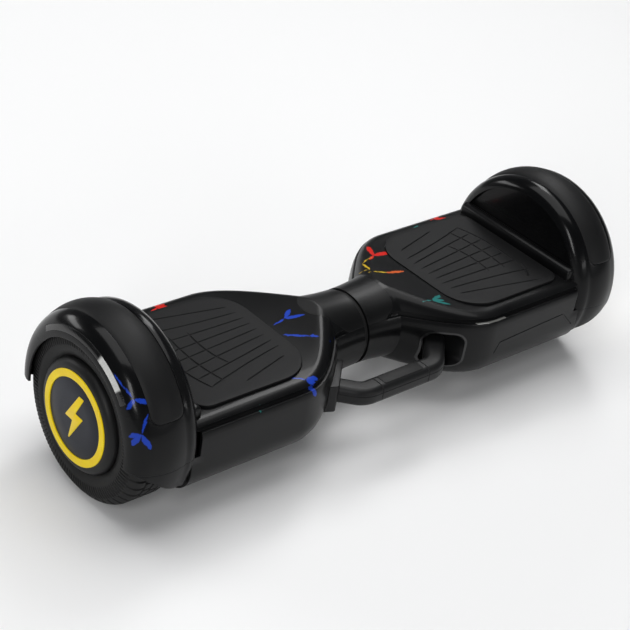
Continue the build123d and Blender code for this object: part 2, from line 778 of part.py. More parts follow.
with BuildPart() as hub_cover:
    with BuildSketch(Plane.XZ):
        with BuildLine():
            Polyline((cover_face_x, axle_z), (cover_face_x, axle_z + ring_outer + 1.2))
            ThreePointArc((cover_face_x, axle_z + ring_outer + 1.2), (297.2, axle_z + 49.0),
                          (rim_outer_x + 2.3, axle_z + 51.6))
            Polyline((rim_outer_x + 2.3, axle_z + 51.6), (rim_outer_x, axle_z + 51.6),
                     (rim_outer_x, axle_z + 46), (disc_x, axle_z + 42), (disc_x, axle_z + bearing_seat),
                     (outer_bearing_x, axle_z + bearing_seat),
                     (outer_bearing_x, axle_z + bearing_outer + seat_gap),
                     (axle_room_x, axle_z + bearing_outer + seat_gap), (axle_room_x, axle_z),
                     (cover_face_x, axle_z))
        make_face()
    revolve(axis=axle_line)
save_pair(hub_cover, "hub_cover")

with BuildPart() as hub_ring:
    add(ring(ring_outer, ring_inner, cover_face_x, hub_face_x, axle_z))
save_pair(hub_ring, "hub_ring")

with BuildPart() as hub_badge:
    add(ring(ring_inner - 0.1, 0, cover_face_x, hub_face_x, axle_z))
save_pair(hub_badge, "hub_badge")

with BuildPart() as wheel_bearings:
    bearing_bore = axle_radius + running_gap
    inner_start = rim_inner_x + 3
    add(ring(bearing_outer, bearing_bore, inner_start, inner_start + bearing_width, axle_z))
    add(ring(bearing_outer, bearing_bore, outer_bearing_x, outer_bearing_x + bearing_width, axle_z))
save_pair(wheel_bearings, "wheel_bearings")

with BuildPart() as axle:
    add(ring(axle_radius, axle_bore, axle_inner_x, axle_hollow_x, axle_z))
    add(ring(axle_radius, 0, axle_hollow_x, axle_outer_x, axle_z))
save_pair(axle, "axle")

with BuildPart() as stator:
    add(ring(stator_hub_radius, axle_radius + 0.02, stator_x0, stator_x1, axle_z))
    teeth = 18
    with BuildSketch(Plane.YZ.offset(stator_x0)):
        with Locations((0, axle_z)):
            with PolarLocations(stator_hub_radius + 3.0, teeth):
                Rectangle(10, 5)
            with PolarLocations(stator_radius - 3.0, teeth):
                Rectangle(5, 9)
    extrude(amount=stator_x1 - stator_x0)
save_pair(stator, "stator")

# ------------------------------------------------------------------ pivot between the halves
groove_x = 86.0               # the circlip's groove, beyond the right half's outer bush
groove_width = 1.6
groove_depth = 1.0

with BuildPart() as pivot_tube:
    add(ring(tube_radius, tube_bore, -boss_x1, tube_half_length + 2, neck_centre_z))
    add(ring(tube_radius + 1, tube_radius - groove_depth, groove_x, groove_x + groove_width,
             neck_centre_z), mode=Mode.SUBTRACT)
    with BuildSketch(Plane.XY.offset(neck_centre_z - boss_radius)):
        with Locations((-stop_x, 0), (stop_x, 0)):
            Circle(stop_radius + 0.02)
    extrude(amount=boss_radius, mode=Mode.SUBTRACT)
save(pivot_tube, "pivot_tube")

with BuildPart() as pivot_bushes:
    bush_outer = tube_radius + running_gap + bush_wall
    bush_bore = tube_radius + running_gap
    add(ring(bush_outer, bush_bore, boss_x0, boss_x0 + bush_length, neck_centre_z))
    add(ring(bush_outer + 2, bush_bore, boss_x0 - 1.5, boss_x0, neck_centre_z))
    add(ring(bush_outer, bush_bore, boss_x1 - bush_length, boss_x1, neck_centre_z))
    add(ring(bush_outer + 2, bush_bore, boss_x1, boss_x1 + 1.5, neck_centre_z))
save(pivot_bushes, "pivot_bushes")

with BuildPart() as circlip:
    add(ring(tube_radius + 4, tube_radius - groove_depth + 0.02, groove_x + 0.05,
             groove_x + groove_width - 0.15, neck_centre_z))
save(circlip, "circlip")

with BuildPart() as pivot_pins:
    for x in (-stop_x, stop_x):
        with BuildSketch(Plane.XY.offset(neck_centre_z - boss_radius + 1)):
            with Locations((x, 0)):
                Circle(stop_radius)
        extrude(amount=boss_radius - 1 - tube_bore + 1)
save(pivot_pins, "pivot_pins")

with BuildPart() as neck_seal:
    add(ring(neck_radius - 1.5, boss_radius, -half_gap + 0.3, half_gap - 0.3, neck_centre_z))
save(neck_seal, "neck_seal")

# ------------------------------------------------------------------ battery, boards and leads
battery_x0 = 100.0
battery_x1 = 170.0
battery_half_width = 58.0
battery_z0 = body_bottom_z + wall + 0.8
battery_height = 55.0
board_x0 = 100.0
board_x1 = 170.0
board_z = axle_z - 1.0        # underside of the controller board
board_top = board_z + 1.6
board_half_width = 50.0
sink_x0 = 112.0               # heat sink block, against the frame
sink_half_width = 34.0
lead_radius = axle_bore - part_gap
cable_radius = 4.5

with BuildPart() as battery_pack:
    add(block(-battery_x1, -battery_x0, -battery_half_width, battery_half_width, battery_z0,
              battery_z0 + battery_height))
    fillet(battery_pack.edges().filter_by(Axis.X), radius=6)
save(battery_pack, "battery_pack")

with BuildPart() as main_board:
    add(block(board_x0, board_x1, -board_half_width, board_half_width, board_z, board_top))
    add(block(sink_x0, board_x1, -sink_half_width, sink_half_width, board_top, frame_under_z))
    add(block(board_x0, board_x0 + 10, -9, 9, neck_centre_z - 7, board_z))
save(main_board, "main_board")

with BuildPart() as link_cable:
    add(ring(cable_radius, 0, -battery_x0 + part_gap, board_x0 - part_gap, neck_centre_z))
save(link_cable, "link_cable")

with BuildPart() as motor_leads:
    add(ring(lead_radius, 0, board_x1 + part_gap, axle_inner_x + 50, axle_z))
save_pair(motor_leads, "motor_leads")

with BuildPart() as button_housing:
    with BuildSketch(Plane.XZ.offset(-side_y - 1.0)):
        with Locations((button_x, button_z)):
            Circle(housing_radius - 0.02)
    extrude(amount=side_y + 1.0 - housing_back_y)
    with BuildSketch(Plane.XZ.offset(-side_y - 1.0)):
        with Locations((button_x, button_z)):
            Circle(button_radius + part_gap)
    extrude(amount=side_y + 1.0 - housing_back_y - 3, mode=Mode.SUBTRACT)
save(button_housing, "button_housing")

with BuildPart() as power_button:
    button_back_y = housing_back_y + 3 + button_travel + 0.3
    with BuildSketch(Plane.XZ.offset(-side_y - 2.0)):
        with Locations((button_x, button_z)):
            Circle(button_radius)
    extrude(amount=side_y + 2.0 - button_back_y)
save(power_button, "power_button")

cap_hinge_z = port_z + 13.0
cap_hinge_y = side_y + 3.2
cap_pin_radius = 0.8

with BuildPart() as charge_port:
    with BuildSketch(Plane.XZ.offset(-side_y)):
        with Locations((port_x, port_z)):
            Circle(port_radius - 0.02)
    extrude(amount=port_depth)
    with BuildSketch(Plane.XZ.offset(-side_y - 1.2)):
        with Locations((port_x, port_z)):
            Circle(flange_radius)
    extrude(amount=1.2)
    with BuildSketch(Plane.XZ.offset(-side_y - 1.2)):
        with Locations((port_x, port_z)):
            Circle(port_bore)
    extrude(amount=port_depth - 1, mode=Mode.SUBTRACT)
    with BuildSketch(Plane.XZ.offset(-side_y - 1.2 + port_depth - 0.5)):
        with Locations((port_x, port_z)):
            with PolarLocations(3.2, 3):
                Circle(1.0)
    extrude(amount=-8)
    for side in (-1, 1):
        add(block(port_x + side * 5 - 1.2, port_x + side * 5 + 1.2, side_y, cap_hinge_y + 1.8,
                  cap_hinge_z - 2.5, cap_hinge_z + 1.8))
    with BuildSketch(Plane.YZ.offset(port_x - 8)):
        with Locations((cap_hinge_y, cap_hinge_z)):
            Circle(cap_pin_radius + 0.02)
    extrude(amount=16, mode=Mode.SUBTRACT)
    with BuildSketch(Plane.YZ.offset(port_x - 6.4)):
        with Locations((cap_hinge_y, cap_hinge_z)):
            Circle(cap_pin_radius)
    extrude(amount=12.8)
save(charge_port, "charge_port")

with BuildPart() as charge_cap:
    with BuildSketch(Plane.XZ.offset(-side_y - 1.5)):
        with Locations((port_x, port_z)):
            Circle(10.5)
        with Locations((port_x, port_z + 10)):
            Rectangle(7.0, 4)
    extrude(amount=-2.2)
    with BuildSketch(Plane.YZ.offset(port_x - 3.5)):
        with Locations((cap_hinge_y, cap_hinge_z)):
            Circle(1.7)
    extrude(amount=7.0)
    with BuildSketch(Plane.YZ.offset(port_x - 8)):
        with Locations((cap_hinge_y, cap_hinge_z)):
            Circle(cap_pin_radius + running_gap)
    extrude(amount=16, mode=Mode.SUBTRACT)
save(charge_cap, "charge_cap")

# ------------------------------------------------------------------ handle
core_radius = 4.0
face_x = bracket_front[0] - bracket_rear[0]
face_y = bracket_front[1] - bracket_rear[1]
face_length = hypot(face_x, face_y)
foot_share = 0.72             # the arm stands this far along the bracket's joint face
foot_x = bracket_rear[0] + foot_share * face_x
foot_y = bracket_rear[1] + foot_share * face_y
bend_x = foot_x + (foot_y - handle_y) * face_y / face_x
tip_inset = 22.0              # the free end lies this much deeper than the bracket's face
tip_x = foot_x - tip_inset * -face_y / face_length
tip_y = foot_y + tip_inset * -face_x / face_length
handle_points = [(foot_x, foot_y), (bend_x, handle_y), (-bend_x, handle_y), (-tip_x, tip_y)]


def handle_sweep(width, height, corner):
    with BuildPart() as piece:
        with BuildLine() as route:
            FilletPolyline([(x, y, handle_z) for x, y in handle_points], radius=arm_bend_radius)
        start = route.line @ 0
        with BuildSketch(Plane(origin=start, x_dir=(0, 0, 1), z_dir=route.line % 0)):
            RectangleRounded(height, width, corner)
        sweep(path=route.line)
    return piece.part


handle_bar = handle_sweep(handle_width, handle_height, 6.0)
core_hole = handle_sweep(2 * core_radius + 0.1, 2 * core_radius + 0.1, core_radius)
core_bar = handle_sweep(2 * core_radius, 2 * core_radius, core_radius - 0.05)

zones = {
    "handle_arm_left": (-reach, -grip_half_length - 0.2),
    "handle_grip": (-grip_half_length, grip_half_length),
    "handle_arm_right": (grip_half_length + 0.2, reach),
}
for name, (x0, x1) in zones.items():
    with BuildPart() as handle_piece:
        add(handle_bar)
        add(core_hole, mode=Mode.SUBTRACT)
        add(block(x0, x1, -reach, 0, 0, 200), mode=Mode.INTERSECT)
    save(handle_piece, name)

with BuildPart() as handle_core:
    add(core_bar)
save(handle_core, "handle_core")
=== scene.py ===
from math import atan2, ceil, cos, hypot, pi, radians, sin, sqrt

import bmesh
import bpy
from mathutils import Matrix, Vector


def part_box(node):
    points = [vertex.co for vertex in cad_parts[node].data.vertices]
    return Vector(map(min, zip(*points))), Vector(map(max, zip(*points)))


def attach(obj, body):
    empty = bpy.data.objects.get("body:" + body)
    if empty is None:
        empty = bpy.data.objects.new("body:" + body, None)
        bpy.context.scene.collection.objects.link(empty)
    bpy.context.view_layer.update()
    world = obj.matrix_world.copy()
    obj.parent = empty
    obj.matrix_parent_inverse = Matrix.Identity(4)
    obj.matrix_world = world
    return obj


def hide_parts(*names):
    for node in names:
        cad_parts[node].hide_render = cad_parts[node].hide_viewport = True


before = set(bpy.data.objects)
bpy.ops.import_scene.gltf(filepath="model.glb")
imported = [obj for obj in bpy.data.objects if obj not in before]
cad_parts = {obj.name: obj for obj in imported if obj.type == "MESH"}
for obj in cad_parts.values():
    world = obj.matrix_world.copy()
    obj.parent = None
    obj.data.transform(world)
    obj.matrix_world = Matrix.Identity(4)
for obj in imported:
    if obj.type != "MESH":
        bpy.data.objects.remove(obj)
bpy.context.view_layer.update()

# Looks for the two-wheeled self balancing board.  Shapes are worked out in millimetres in the
# frame's axes and become metres when a mesh is made.  Most pieces are made for the right half;
# the left half's are the same shape turned half a turn about Z.
MM = 0.001


# ------------------------------------------------------------------ sizes
def low_mm(node):
    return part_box(node)[0] / MM


def high_mm(node):
    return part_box(node)[1] / MM


wheel_radius = (high_mm("tyre_right").z - low_mm("tyre_right").z) / 2
axle_z = (high_mm("tyre_right").z + low_mm("tyre_right").z) / 2
hub_face_x = high_mm("hub_ring_right").x
hub_seat_x = 298.4            # the badge and its ring are let into the cover to here
pad_x0 = low_mm("footpad_right").x
pad_x1 = high_mm("footpad_right").x
pad_half_width = high_mm("footpad_right").y
pad_top_z = high_mm("footpad_right").z
pad_inner_corner = 38.0
pad_outer_corner = 14.0
deck_z = 105.0
seam_z = high_mm("lower_shell_right").z
belt_height = 4.0
belt_depth = 2.5
belt_lap = 1.4                # the belt runs on this far behind the deck's edge
wall = 3.0
neck_radius = 36.0
neck_centre_z = 78.0
half_gap = 2.5
root_x = 40.0
flare_length = 80.0
body_half_width = 88.0
body_bottom_z = 30.0
hull_end_x = 241.0
rim_x = 233.5
rim_radius = 79.5
strip_x0 = 249.5
strip_x1 = 282.7
seam_radius = 90.1
crown_radius = 94.0
well_radius = wheel_radius + 3.5
lip_x = high_mm("upper_shell_right").x
lip_radius = 70.0
foot_z = 75.0                 # the upper shell's part of the fender stops here
fender_reach = 100.0          # degrees each way from the top
cheek_reach = 113.0           # the lower shell's cheeks run on to here
strip_bed = 88.6
handle_y = (low_mm("handle_grip").y + high_mm("handle_grip").y) / 2
handle_z = (low_mm("handle_grip").z + high_mm("handle_grip").z) / 2
handle_width = high_mm("handle_grip").y - low_mm("handle_grip").y
handle_height = high_mm("handle_grip").z - low_mm("handle_grip").z
grip_half = high_mm("handle_grip").x
bracket_rear = (-37.6, -45.4)  # the joint face between bracket and arm, in plan
bracket_front = (-68.5, -75.2)
foot_share = 0.72             # the arm stands this far along it
tip_inset = 22.0              # the free end lies this much deeper
arm_bend_radius = 18.0
pocket_x0 = 54.0              # recess that the free end floats in
pocket_x1 = 90.0
pocket_height = 41.0
pocket_corner = 12.0
reach = 400.0


# ------------------------------------------------------------------ mesh tools
def new_piece(name, points, faces):
    """A mesh from points in millimetres."""
    mesh = bpy.data.meshes.new(name)
    mesh.from_pydata([Vector(p) * MM for p in points], [], faces)
    piece = bpy.data.objects.new(name, mesh)
    bpy.context.scene.collection.objects.link(piece)
    tidy = bmesh.new()
    tidy.from_mesh(mesh)
    bmesh.ops.recalc_face_normals(tidy, faces=tidy.faces)
    tidy.to_mesh(mesh)
    tidy.free()
    return piece


def skin_loops(name, loops, round_loop=True, closed=False):
    """A solid through loops of equally many points; closed joins the last loop to the first."""
    count = len(loops[0])
    points = [p for loop in loops for p in loop]
    faces = []
    spans = len(loops) if closed else len(loops) - 1
    for i in range(spans):
        a = i * count
        b = (i + 1) % len(loops) * count
        for j in range(count if round_loop else count - 1):
            k = (j + 1) % count
            faces.append((a + j, a + k, b + k, b + j))
    if not closed:
        faces.append(tuple(range(count)))
        faces.append(tuple(range(len(points) - count, len(points))))
    return new_piece(name, points, faces)


def settle(piece):
    """Makes the piece's modifiers part of its mesh."""
    view = bpy.context.evaluated_depsgraph_get()
    shape = bpy.data.meshes.new_from_object(piece.evaluated_get(view))
    old = piece.data
    piece.modifiers.clear()
    piece.data = shape
    bpy.data.meshes.remove(old)
    return piece


def drop(piece):
    mesh = piece.data
    bpy.data.objects.remove(piece)
    bpy.data.meshes.remove(mesh)


def combine(piece, tool, operation="DIFFERENCE", keep=False):
    """Cuts the tool from the piece, joins it on, or keeps what both share."""
    step = piece.modifiers.new("combine", "BOOLEAN")
    step.operation = operation
    step.solver = "EXACT"
    step.object = tool
    settle(piece)
    if not keep:
        drop(tool)
    return piece


def soften(piece, width, segments=3, angle=40):
    """Rounds the piece's edges."""
    step = piece.modifiers.new("round", "BEVEL")
    step.width = width * MM
    step.segments = segments
    step.limit_method = "ANGLE"
    step.angle_limit = radians(angle)
    return settle(piece)


def smooth(piece, angle=32):
    piece.data.polygons.foreach_set("use_smooth", [True] * len(piece.data.polygons))
    piece.data.set_sharp_from_angle(angle=radians(angle))
    return piece


def copy_piece(piece, name):
    twin = bpy.data.objects.new(name, piece.data.copy())
    bpy.context.scene.collection.objects.link(twin)
    return twin


def turned(piece, name):
    """The piece turned half a turn about Z, for the left half."""
    twin = copy_piece(piece, name)
    twin.data.transform(Matrix.Rotation(pi, 4, "Z"))
    return twin


def box(name, low, high):
    x0, y0, z0 = low
    x1, y1, z1 = high
    loops = [[(x, y0, z0), (x, y1, z0), (x, y1, z1), (x, y0, z1)] for x in (x0, x1)]
    return skin_loops(name, loops)


def prism(name, outline, z0, z1):
    """A plan outline between two heights."""
    return skin_loops(name, [[(x, y, z) for x, y in outline] for z in (z0, z1)])


def side_prism(name, outline, y0, y1):
    """An outline in X and Z between two places along Y."""
    return skin_loops(name, [[(x, y, z) for x, z in outline] for y in (y0, y1)])


def arc3(a, b, c, steps):
    """Points on the arc from a through b to c, both ends included."""
    (ax, ay), (bx, by), (cx, cy) = a, b, c
    d = 2 * (ax * (by - cy) + bx * (cy - ay) + cx * (ay - by))
    aa, bb, cc = ax * ax + ay * ay, bx * bx + by * by, cx * cx + cy * cy
    ux = (aa * (by - cy) + bb * (cy - ay) + cc * (ay - by)) / d
    uy = (aa * (cx - bx) + bb * (ax - cx) + cc * (bx - ax)) / d
    start, middle, end = (atan2(y - uy, x - ux) for x, y in (a, b, c))
    radius = hypot(ax - ux, ay - uy)
    sweep = (end - start) % (2 * pi)
    if (middle - start) % (2 * pi) > sweep:
        sweep -= 2 * pi
    angles = [start + sweep * i / steps for i in range(steps + 1)]
    return [(ux + radius * cos(t), uy + radius * sin(t)) for t in angles]


def rounded(corners, radii, steps=8):
    """A closed outline whose corners are rounded by the radii given."""
    outline = []
    count = len(corners)
    for i in range(count):
        here = Vector(corners[i])
        before = (Vector(corners[i - 1]) - here).normalized()
        after = (Vector(corners[(i + 1) % count]) - here).normalized()
        radius = radii[i]
        if radius <= 0:
            outline.append(tuple(here))
            continue
        half = before.angle(after) / 2
        reach_in = radius / (sin(half) / cos(half))
        centre = here + (before + after).normalized() * (radius / sin(half))
        a = here + before * reach_in - centre
        b = here + after * reach_in - centre
        turn = a.angle_signed(b)
        for k in range(steps + 1):
            spoke = a.copy()
            spoke.rotate(Matrix.Rotation(-turn * k / steps, 2))
            outline.append(tuple(centre + spoke))
    return outline


def rounded_box_outline(width, height, corner, centre=(0, 0), steps=8):
    u, v = centre
    w, h = width / 2, height / 2
    corners = [(u - w, v - h), (u + w, v - h), (u + w, v + h), (u - w, v + h)]
    return rounded(corners, [corner] * 4, steps)


def round_axle(x, radius, angle):
    """A point at a radius from the axle's line, angle degrees off the top towards -Y."""
    turn = radians(angle)
    return (x, -radius * sin(turn), axle_z + radius * cos(turn))


def revolve(name, profile, start=0.0, end=360.0, steps=96):
    """A closed profile of (x, radius) turned about the axle's line."""
    whole = end - start >= 360.0
    count = steps if whole else steps + 1
    loops = []
    for i in range(count):
        angle = start + (end - start) * i / steps
        loops.append([round_axle(x, r, angle) for x, r in profile])
    return skin_loops(name, loops, closed=whole)


# ------------------------------------------------------------------ the body's outline
def hull_size(x):
    """Half width, bottom and top heights, and bottom and top corner radii at x."""
    share = sin(pi / 2 * min(max((x - root_x) / flare_length, 0), 1))
    start = neck_radius + 3.0 * (1 - cos(pi / 2 * min(x, root_x) / root_x))
    half_width = start + (body_half_width - start) * share
    bottom = (neck_centre_z - start) * (1 - share) + body_bottom_z * share
    top = (neck_centre_z + start) * (1 - share) + deck_z * share
    low_corner = 0.94 * start * (1 - share) + 30.0 * share
    high_corner = 0.94 * start * (1 - share) + 14.0 * share
    return half_width, bottom, top, low_corner, high_corner


def hull_loop(x, inset):
    half_width, bottom, top, low_corner, high_corner = hull_size(x)
    w, b, t = half_width - inset, bottom + inset, top - inset
    lc, hc = low_corner - inset, high_corner - inset
    side = [((w - lc) * i / 4, b) for i in range(4)]
    side += [(w - lc + lc * sin(pi / 2 * i / 14), b + lc - lc * cos(pi / 2 * i / 14)) for i in range(14)]
    side += [(w, b + lc + (t - hc - b - lc) * i / 5) for i in range(5)]
    side += [(w - hc + hc * cos(pi / 2 * i / 14), t - hc + hc * sin(pi / 2 * i / 14)) for i in range(14)]
    side += [((w - hc) * (1 - i / 5), t) for i in range(5)]
    ring = side + [(0.0, t)] + [(-y, z) for y, z in side[:0:-1]]
    return [(x, y, z) for y, z in ring]


def hull(name, x0, x1, inset):
    """The outer body of the right half, shrunk or grown all round."""
    stations = [3.0 * i for i in range(1, 14)]
    stations += [root_x + 2.0 * i for i in range(int(flare_length / 2) + 1)]
    stations += [root_x + flare_length + 12.0 * i for i in range(1, 11)]
    inside = [x for x in stations if x0 + 0.5 < x < x1 - 0.5]
    return skin_loops(name, [hull_loop(x, inset) for x in [x0] + inside + [x1]])


def hull_shell(name, inset, z0, z1):
    """The body's wall between two heights."""
    shell = hull(name, half_gap, hull_end_x, inset)
    if inset:
        combine(shell, box("cut", (half_gap, -reach, 0), (hull_end_x, reach, 200)), "INTERSECT")
    combine(shell, hull("inner", half_gap - 1, hull_end_x - wall, inset + wall))
    return combine(shell, box("cut", (-5, -reach, z0), (reach, reach, z1)), "INTERSECT")


def fender_profile():
    """Outer side, lip, underside and inner rim of the fender, as (x, radius)."""
    profile = arc3((rim_x, rim_radius), (237.5, 86.6), (strip_x0, seam_radius), 10)
    profile += arc3((strip_x0, seam_radius), (266.1, crown_radius - 1), (strip_x1, seam_radius), 12)[1:]
    profile += arc3((strip_x1, seam_radius), (293.5, 84.0), (lip_x, lip_radius), 16)[1:]
    profile += [(lip_x - 0.9, lip_radius - 0.7), (lip_x - 1.9, lip_radius - 0.6)]
    profile += arc3((lip_x - 2.5, lip_radius), (292.5, 79.5), (283.0, well_radius), 10)
    profile += [(hull_end_x, well_radius), (hull_end_x, rim_radius)]
    return profile


def strip_block(name, grow, under):
    """The bumper strip on the fender's crown, with rounded ends, or the pocket that it lies in."""
    half_sweep = 65.0 + grow / crown_radius * 180 / pi
    x0, x1 = strip_x0 + 0.25 - grow, strip_x1 - 0.25 + grow
    corner = 8.0
    corner_sweep = corner / crown_radius * 180 / pi
    stations = [-half_sweep + corner_sweep * (1 - cos(pi / 2 * i / 8)) for i in range(8)]
    straight = half_sweep - corner_sweep
    stations += [-straight + 2 * straight * i / 90 for i in range(91)]
    stations += [-s for s in stations[7::-1]]
    middle, half = (x0 + x1) / 2, (x1 - x0) / 2
    loops = []
    for angle in stations:
        into = max(0.0, abs(angle) - (half_sweep - corner_sweep)) / corner_sweep
        inset = corner * (1 - max(0.0, 1 - into * into) ** 0.5)
        loop = []
        for i in range(17):
            u = -1 + i / 8
            x = middle + u * (half - inset)
            edge = (abs(x - middle) / half) ** 2
            rise = (crown_radius - seam_radius - 0.3) * (1 - edge)
            rounding = 0.0 if grow else 0.7 * max(0.0, (abs(u) - 0.93) / 0.07) ** 2
            ends = 0.0 if grow else 0.7 * max(0.0, into - 0.9) / 0.1
            loop.append(round_axle(x, seam_radius + 0.3 + rise - rounding - ends + 4 * grow, angle))
        loop += [round_axle(middle + u * (half - inset), under, angle) for u in (1, 0.5, 0, -0.5, -1)]
        loops.append(loop)
    return skin_loops(name, loops)


# ------------------------------------------------------------------ collars' plan outlines
def collar_plan_right():
    corners = [(-1, -neck_radius - 4), (half_gap, -neck_radius - 4), (36, -28), (36, 28),
               (half_gap, neck_radius + 4), (-1, neck_radius + 4)]
    return rounded(corners, [0, 0, 7, 7, 0, 0])


def collar_plan_left():
    """A rounded tongue that reaches over the neck towards the left foot."""
    through = [(-half_gap, -38), (-28, -30), (-49, -14), (-54, 0), (-49, 14), (-28, 30), (-half_gap, 38)]
    outline = []
    for i in range(1, 7):
        a, b = Vector(through[i - 1]), Vector(through[i])
        before = Vector(through[max(i - 2, 0)])
        after = Vector(through[min(i + 1, 6)])
        for k in range(8):
            t = k / 8
            m0, m1 = (b - before) / 2, (after - a) / 2
            p = (a * (2 * t ** 3 - 3 * t ** 2 + 1) + m0 * (t ** 3 - 2 * t ** 2 + t)
                 + b * (3 * t ** 2 - 2 * t ** 3) + m1 * (t ** 3 - t ** 2))
            outline.append(tuple(p))
    return outline + [(-half_gap, 38), (1, 38), (1, -38)]


# ------------------------------------------------------------------ foot pads
def pad_outline(grow, steps=12):
    x0, x1, w = pad_x0 - grow, pad_x1 + grow, pad_half_width + grow
    inner, outer = pad_inner_corner + grow, pad_outer_corner + grow
    return rounded([(x0, -w), (x1, -w), (x1, w), (x0, w)], [inner, outer, outer, inner], steps)


def pad_slab(name, z0, z1):
    """The foot pad as rows of equally many points, so that its face is an even grid."""
    inner, outer, w = pad_inner_corner, pad_outer_corner, pad_half_width
    stations = [pad_x0 + inner * (1 - cos(pi / 2 * i / 12)) for i in range(12)]
    stations += [pad_x0 + inner + (pad_x1 - pad_x0 - inner - outer) * i / 14 for i in range(15)]
    stations += [pad_x1 - outer * (1 - sin(pi / 2 * i / 8)) for i in range(1, 9)]
    loops = []
    for x in stations:
        if x < pad_x0 + inner:
            half = w - inner + (inner ** 2 - (pad_x0 + inner - x) ** 2) ** 0.5
        elif x > pad_x1 - outer:
            half = w - outer + max(0.0, outer ** 2 - (x - pad_x1 + outer) ** 2) ** 0.5
        else:
            half = w
        top = [(x, half * (-1 + i / 12), z1) for i in range(25)]
        under = [(x, half * (1 - i / 12), z0) for i in range(25)]
        loops.append(top + under)
    return skin_loops(name, loops)


def groove(points, radius, lift=0.0):
    """A pointed rod along a line just above the pad's face, for cutting one groove."""
    smooth_line = []
    count = 14
    a, b, c = (Vector(points[0]), Vector(points[len(points) // 2]), Vector(points[-1]))
    control = 2 * b - (a + c) / 2 if len(points) > 2 else (a + c) / 2
    for i in range(count + 1):
        t = i / count
        smooth_line.append(a * (1 - t) ** 2 + control * 2 * t * (1 - t) + c * t * t)
    loops = []
    for i, p in enumerate(smooth_line):
        ahead = smooth_line[min(i + 1, count)] - smooth_line[max(i - 1, 0)]
        across = Vector((-ahead.y, ahead.x)).normalized()
        size = radius * (0.35 if i in (0, count) else 1.0)
        loop = []
        for k in range(8):
            turn = 2 * pi * k / 8
            side = across * (size * cos(turn))
            loop.append((p.x + side.x, p.y + side.y, pad_top_z + lift + size * sin(turn)))
        loops.append(loop)
    return loops


def join_loops(name, rods):
    """Several rods as one cutting tool."""
    points, faces = [], []
    for loops in rods:
        start, count = len(points), len(loops[0])
        points += [p for loop in loops for p in loop]
        for i in range(len(loops) - 1):
            for j in range(count):
                a, k = start + i * count, (j + 1) % count
                faces.append((a + j, a + k, a + count + k, a + count + j))
        faces.append(tuple(range(start, start + count)))
        faces.append(tuple(range(len(points) - count, len(points))))
    return new_piece(name, points, faces)


fan_lines = [
    [(110.7, 42.4), (164.1, 56.7)],
    [(105.0, 28.0), (150.0, 37.0), (195.5, 49.0)],
    [(104.9, 17.8), (155.3, 27.4), (198.7, 34.5)],
    [(105.4, 7.6), (158.1, 14.4), (202.8, 20.8)],
    [(105.4, -2.6), (160.4, 2.2), (204.1, 6.0)],
    [(105.3, -12.4), (158.3, -10.4), (206.0, -8.4)],
    [(105.0, -22.2), (157.5, -22.8), (206.0, -24.6)],
    [(105.9, -32.4), (158.7, -36.7), (208.0, -43.6)],
    [(108.3, -43.4), (146.6, -51.0), (204.0, -63.0)],
]
cross_lines = [
    [(195.6, 50.0), (203.6, 16.0), (203.0, -28.0)],
    [(180.6, 46.5), (186.4, 12.0), (184.2, -29.6)],
    [(160.4, 27.2), (166.4, 4.0), (165.0, -27.0)],
    [(204.6, -33.0), (200.0, -45.0), (193.5, -52.5)],
]


def make_footpad():
    pad = pad_slab("footpad", pad_top_z - 5.3, pad_top_z)
    soften(pad, 1.3, 3, 50)
    combine(pad, join_loops("grooves", [groove(line, 0.95, 0.1) for line in fan_lines]))
    combine(pad, join_loops("grooves", [groove(line, 1.15, 0.1) for line in cross_lines]))
    return smooth(pad, 40)


# ------------------------------------------------------------------ shells
def make_upper_blank():
    upper = hull_shell("upper", 0.0, seam_z + belt_height, 200)
    combine(upper, hull_shell("belt", belt_depth, seam_z,
                              seam_z + belt_height + belt_lap), "UNION")
    fender = revolve("fender", fender_profile(), -fender_reach, fender_reach, 200)
    combine(fender, box("cut", (rim_x - 5, -reach, foot_z), (reach, reach, 300)), "INTERSECT")
    combine(upper, fender, "UNION")
    near, far, rim = hull_end_x - wall, hull_end_x + 0.6, well_radius + 0.5
    backing = revolve("well_wall", [(near, 0.01), (near, rim), (far, rim), (far, 0.01)], steps=160)
    combine(backing, box("cut", (0, -reach, seam_z), (reach, reach, 300)), "INTERSECT")
    combine(upper, backing, "UNION")
    combine(upper, make_ridge(), "UNION")
    combine(upper, prism("pad_opening", pad_outline(0.4), 90, 130))
    combine(upper, strip_block("pocket", 0.3, strip_bed))
    combine(upper, revolve("lamp_slot", [(285.8, 75.3), (305, 75.3), (305, 80.7), (285.8, 80.7)],
                           -50.2, 42.2, 92))
    return upper


def make_ridge():
    """The bar across the deck, between the foot pad and the wheel's wall."""
    outline = [(226.5, deck_z - 2.5)] + arc3((226.5, 111.5), (229.2, 115.4), (234.0, 116.0), 8)
    outline += [(hull_end_x - wall + 0.5, 115.2), (hull_end_x - wall + 0.5, deck_z - 2.5)]
    ridge = side_prism("ridge", outline, -76, 76)
    step = ridge.modifiers.new("round", "BEVEL")
    step.width = 3.0 * MM
    step.segments = 4
    step.limit_method = "ANGLE"
    step.angle_limit = radians(60)
    return settle(ridge)


screw_spots = [(72, 31), (72, -31), (183, 60), (183, -60), (214, 58), (214, -58)]
crease = [(122.0, 60.5), (128.0, 72.0), (171.0, 74.5), (217.0, 76.6), (234.0, 60.0)]
pocket_centre = ((pocket_x0 + pocket_x1) / 2, handle_z)


def side_groove(route, y, radius):
    """A rod along a line on the body's side, for cutting a panel line."""
    loops = []
    for i, (x, z) in enumerate(route):
        x0, z0 = route[max(i - 1, 0)]
        x1, z1 = route[min(i + 1, len(route) - 1)]
        along = Vector((x1 - x0, z1 - z0)).normalized()
        loop = []
        for k in range(6):
            turn = 2 * pi * k / 6
            out = radius * cos(turn)
            loop.append((x - along.y * out, y + radius * sin(turn), z + along.x * out))
        loops.append(loop)
    return loops


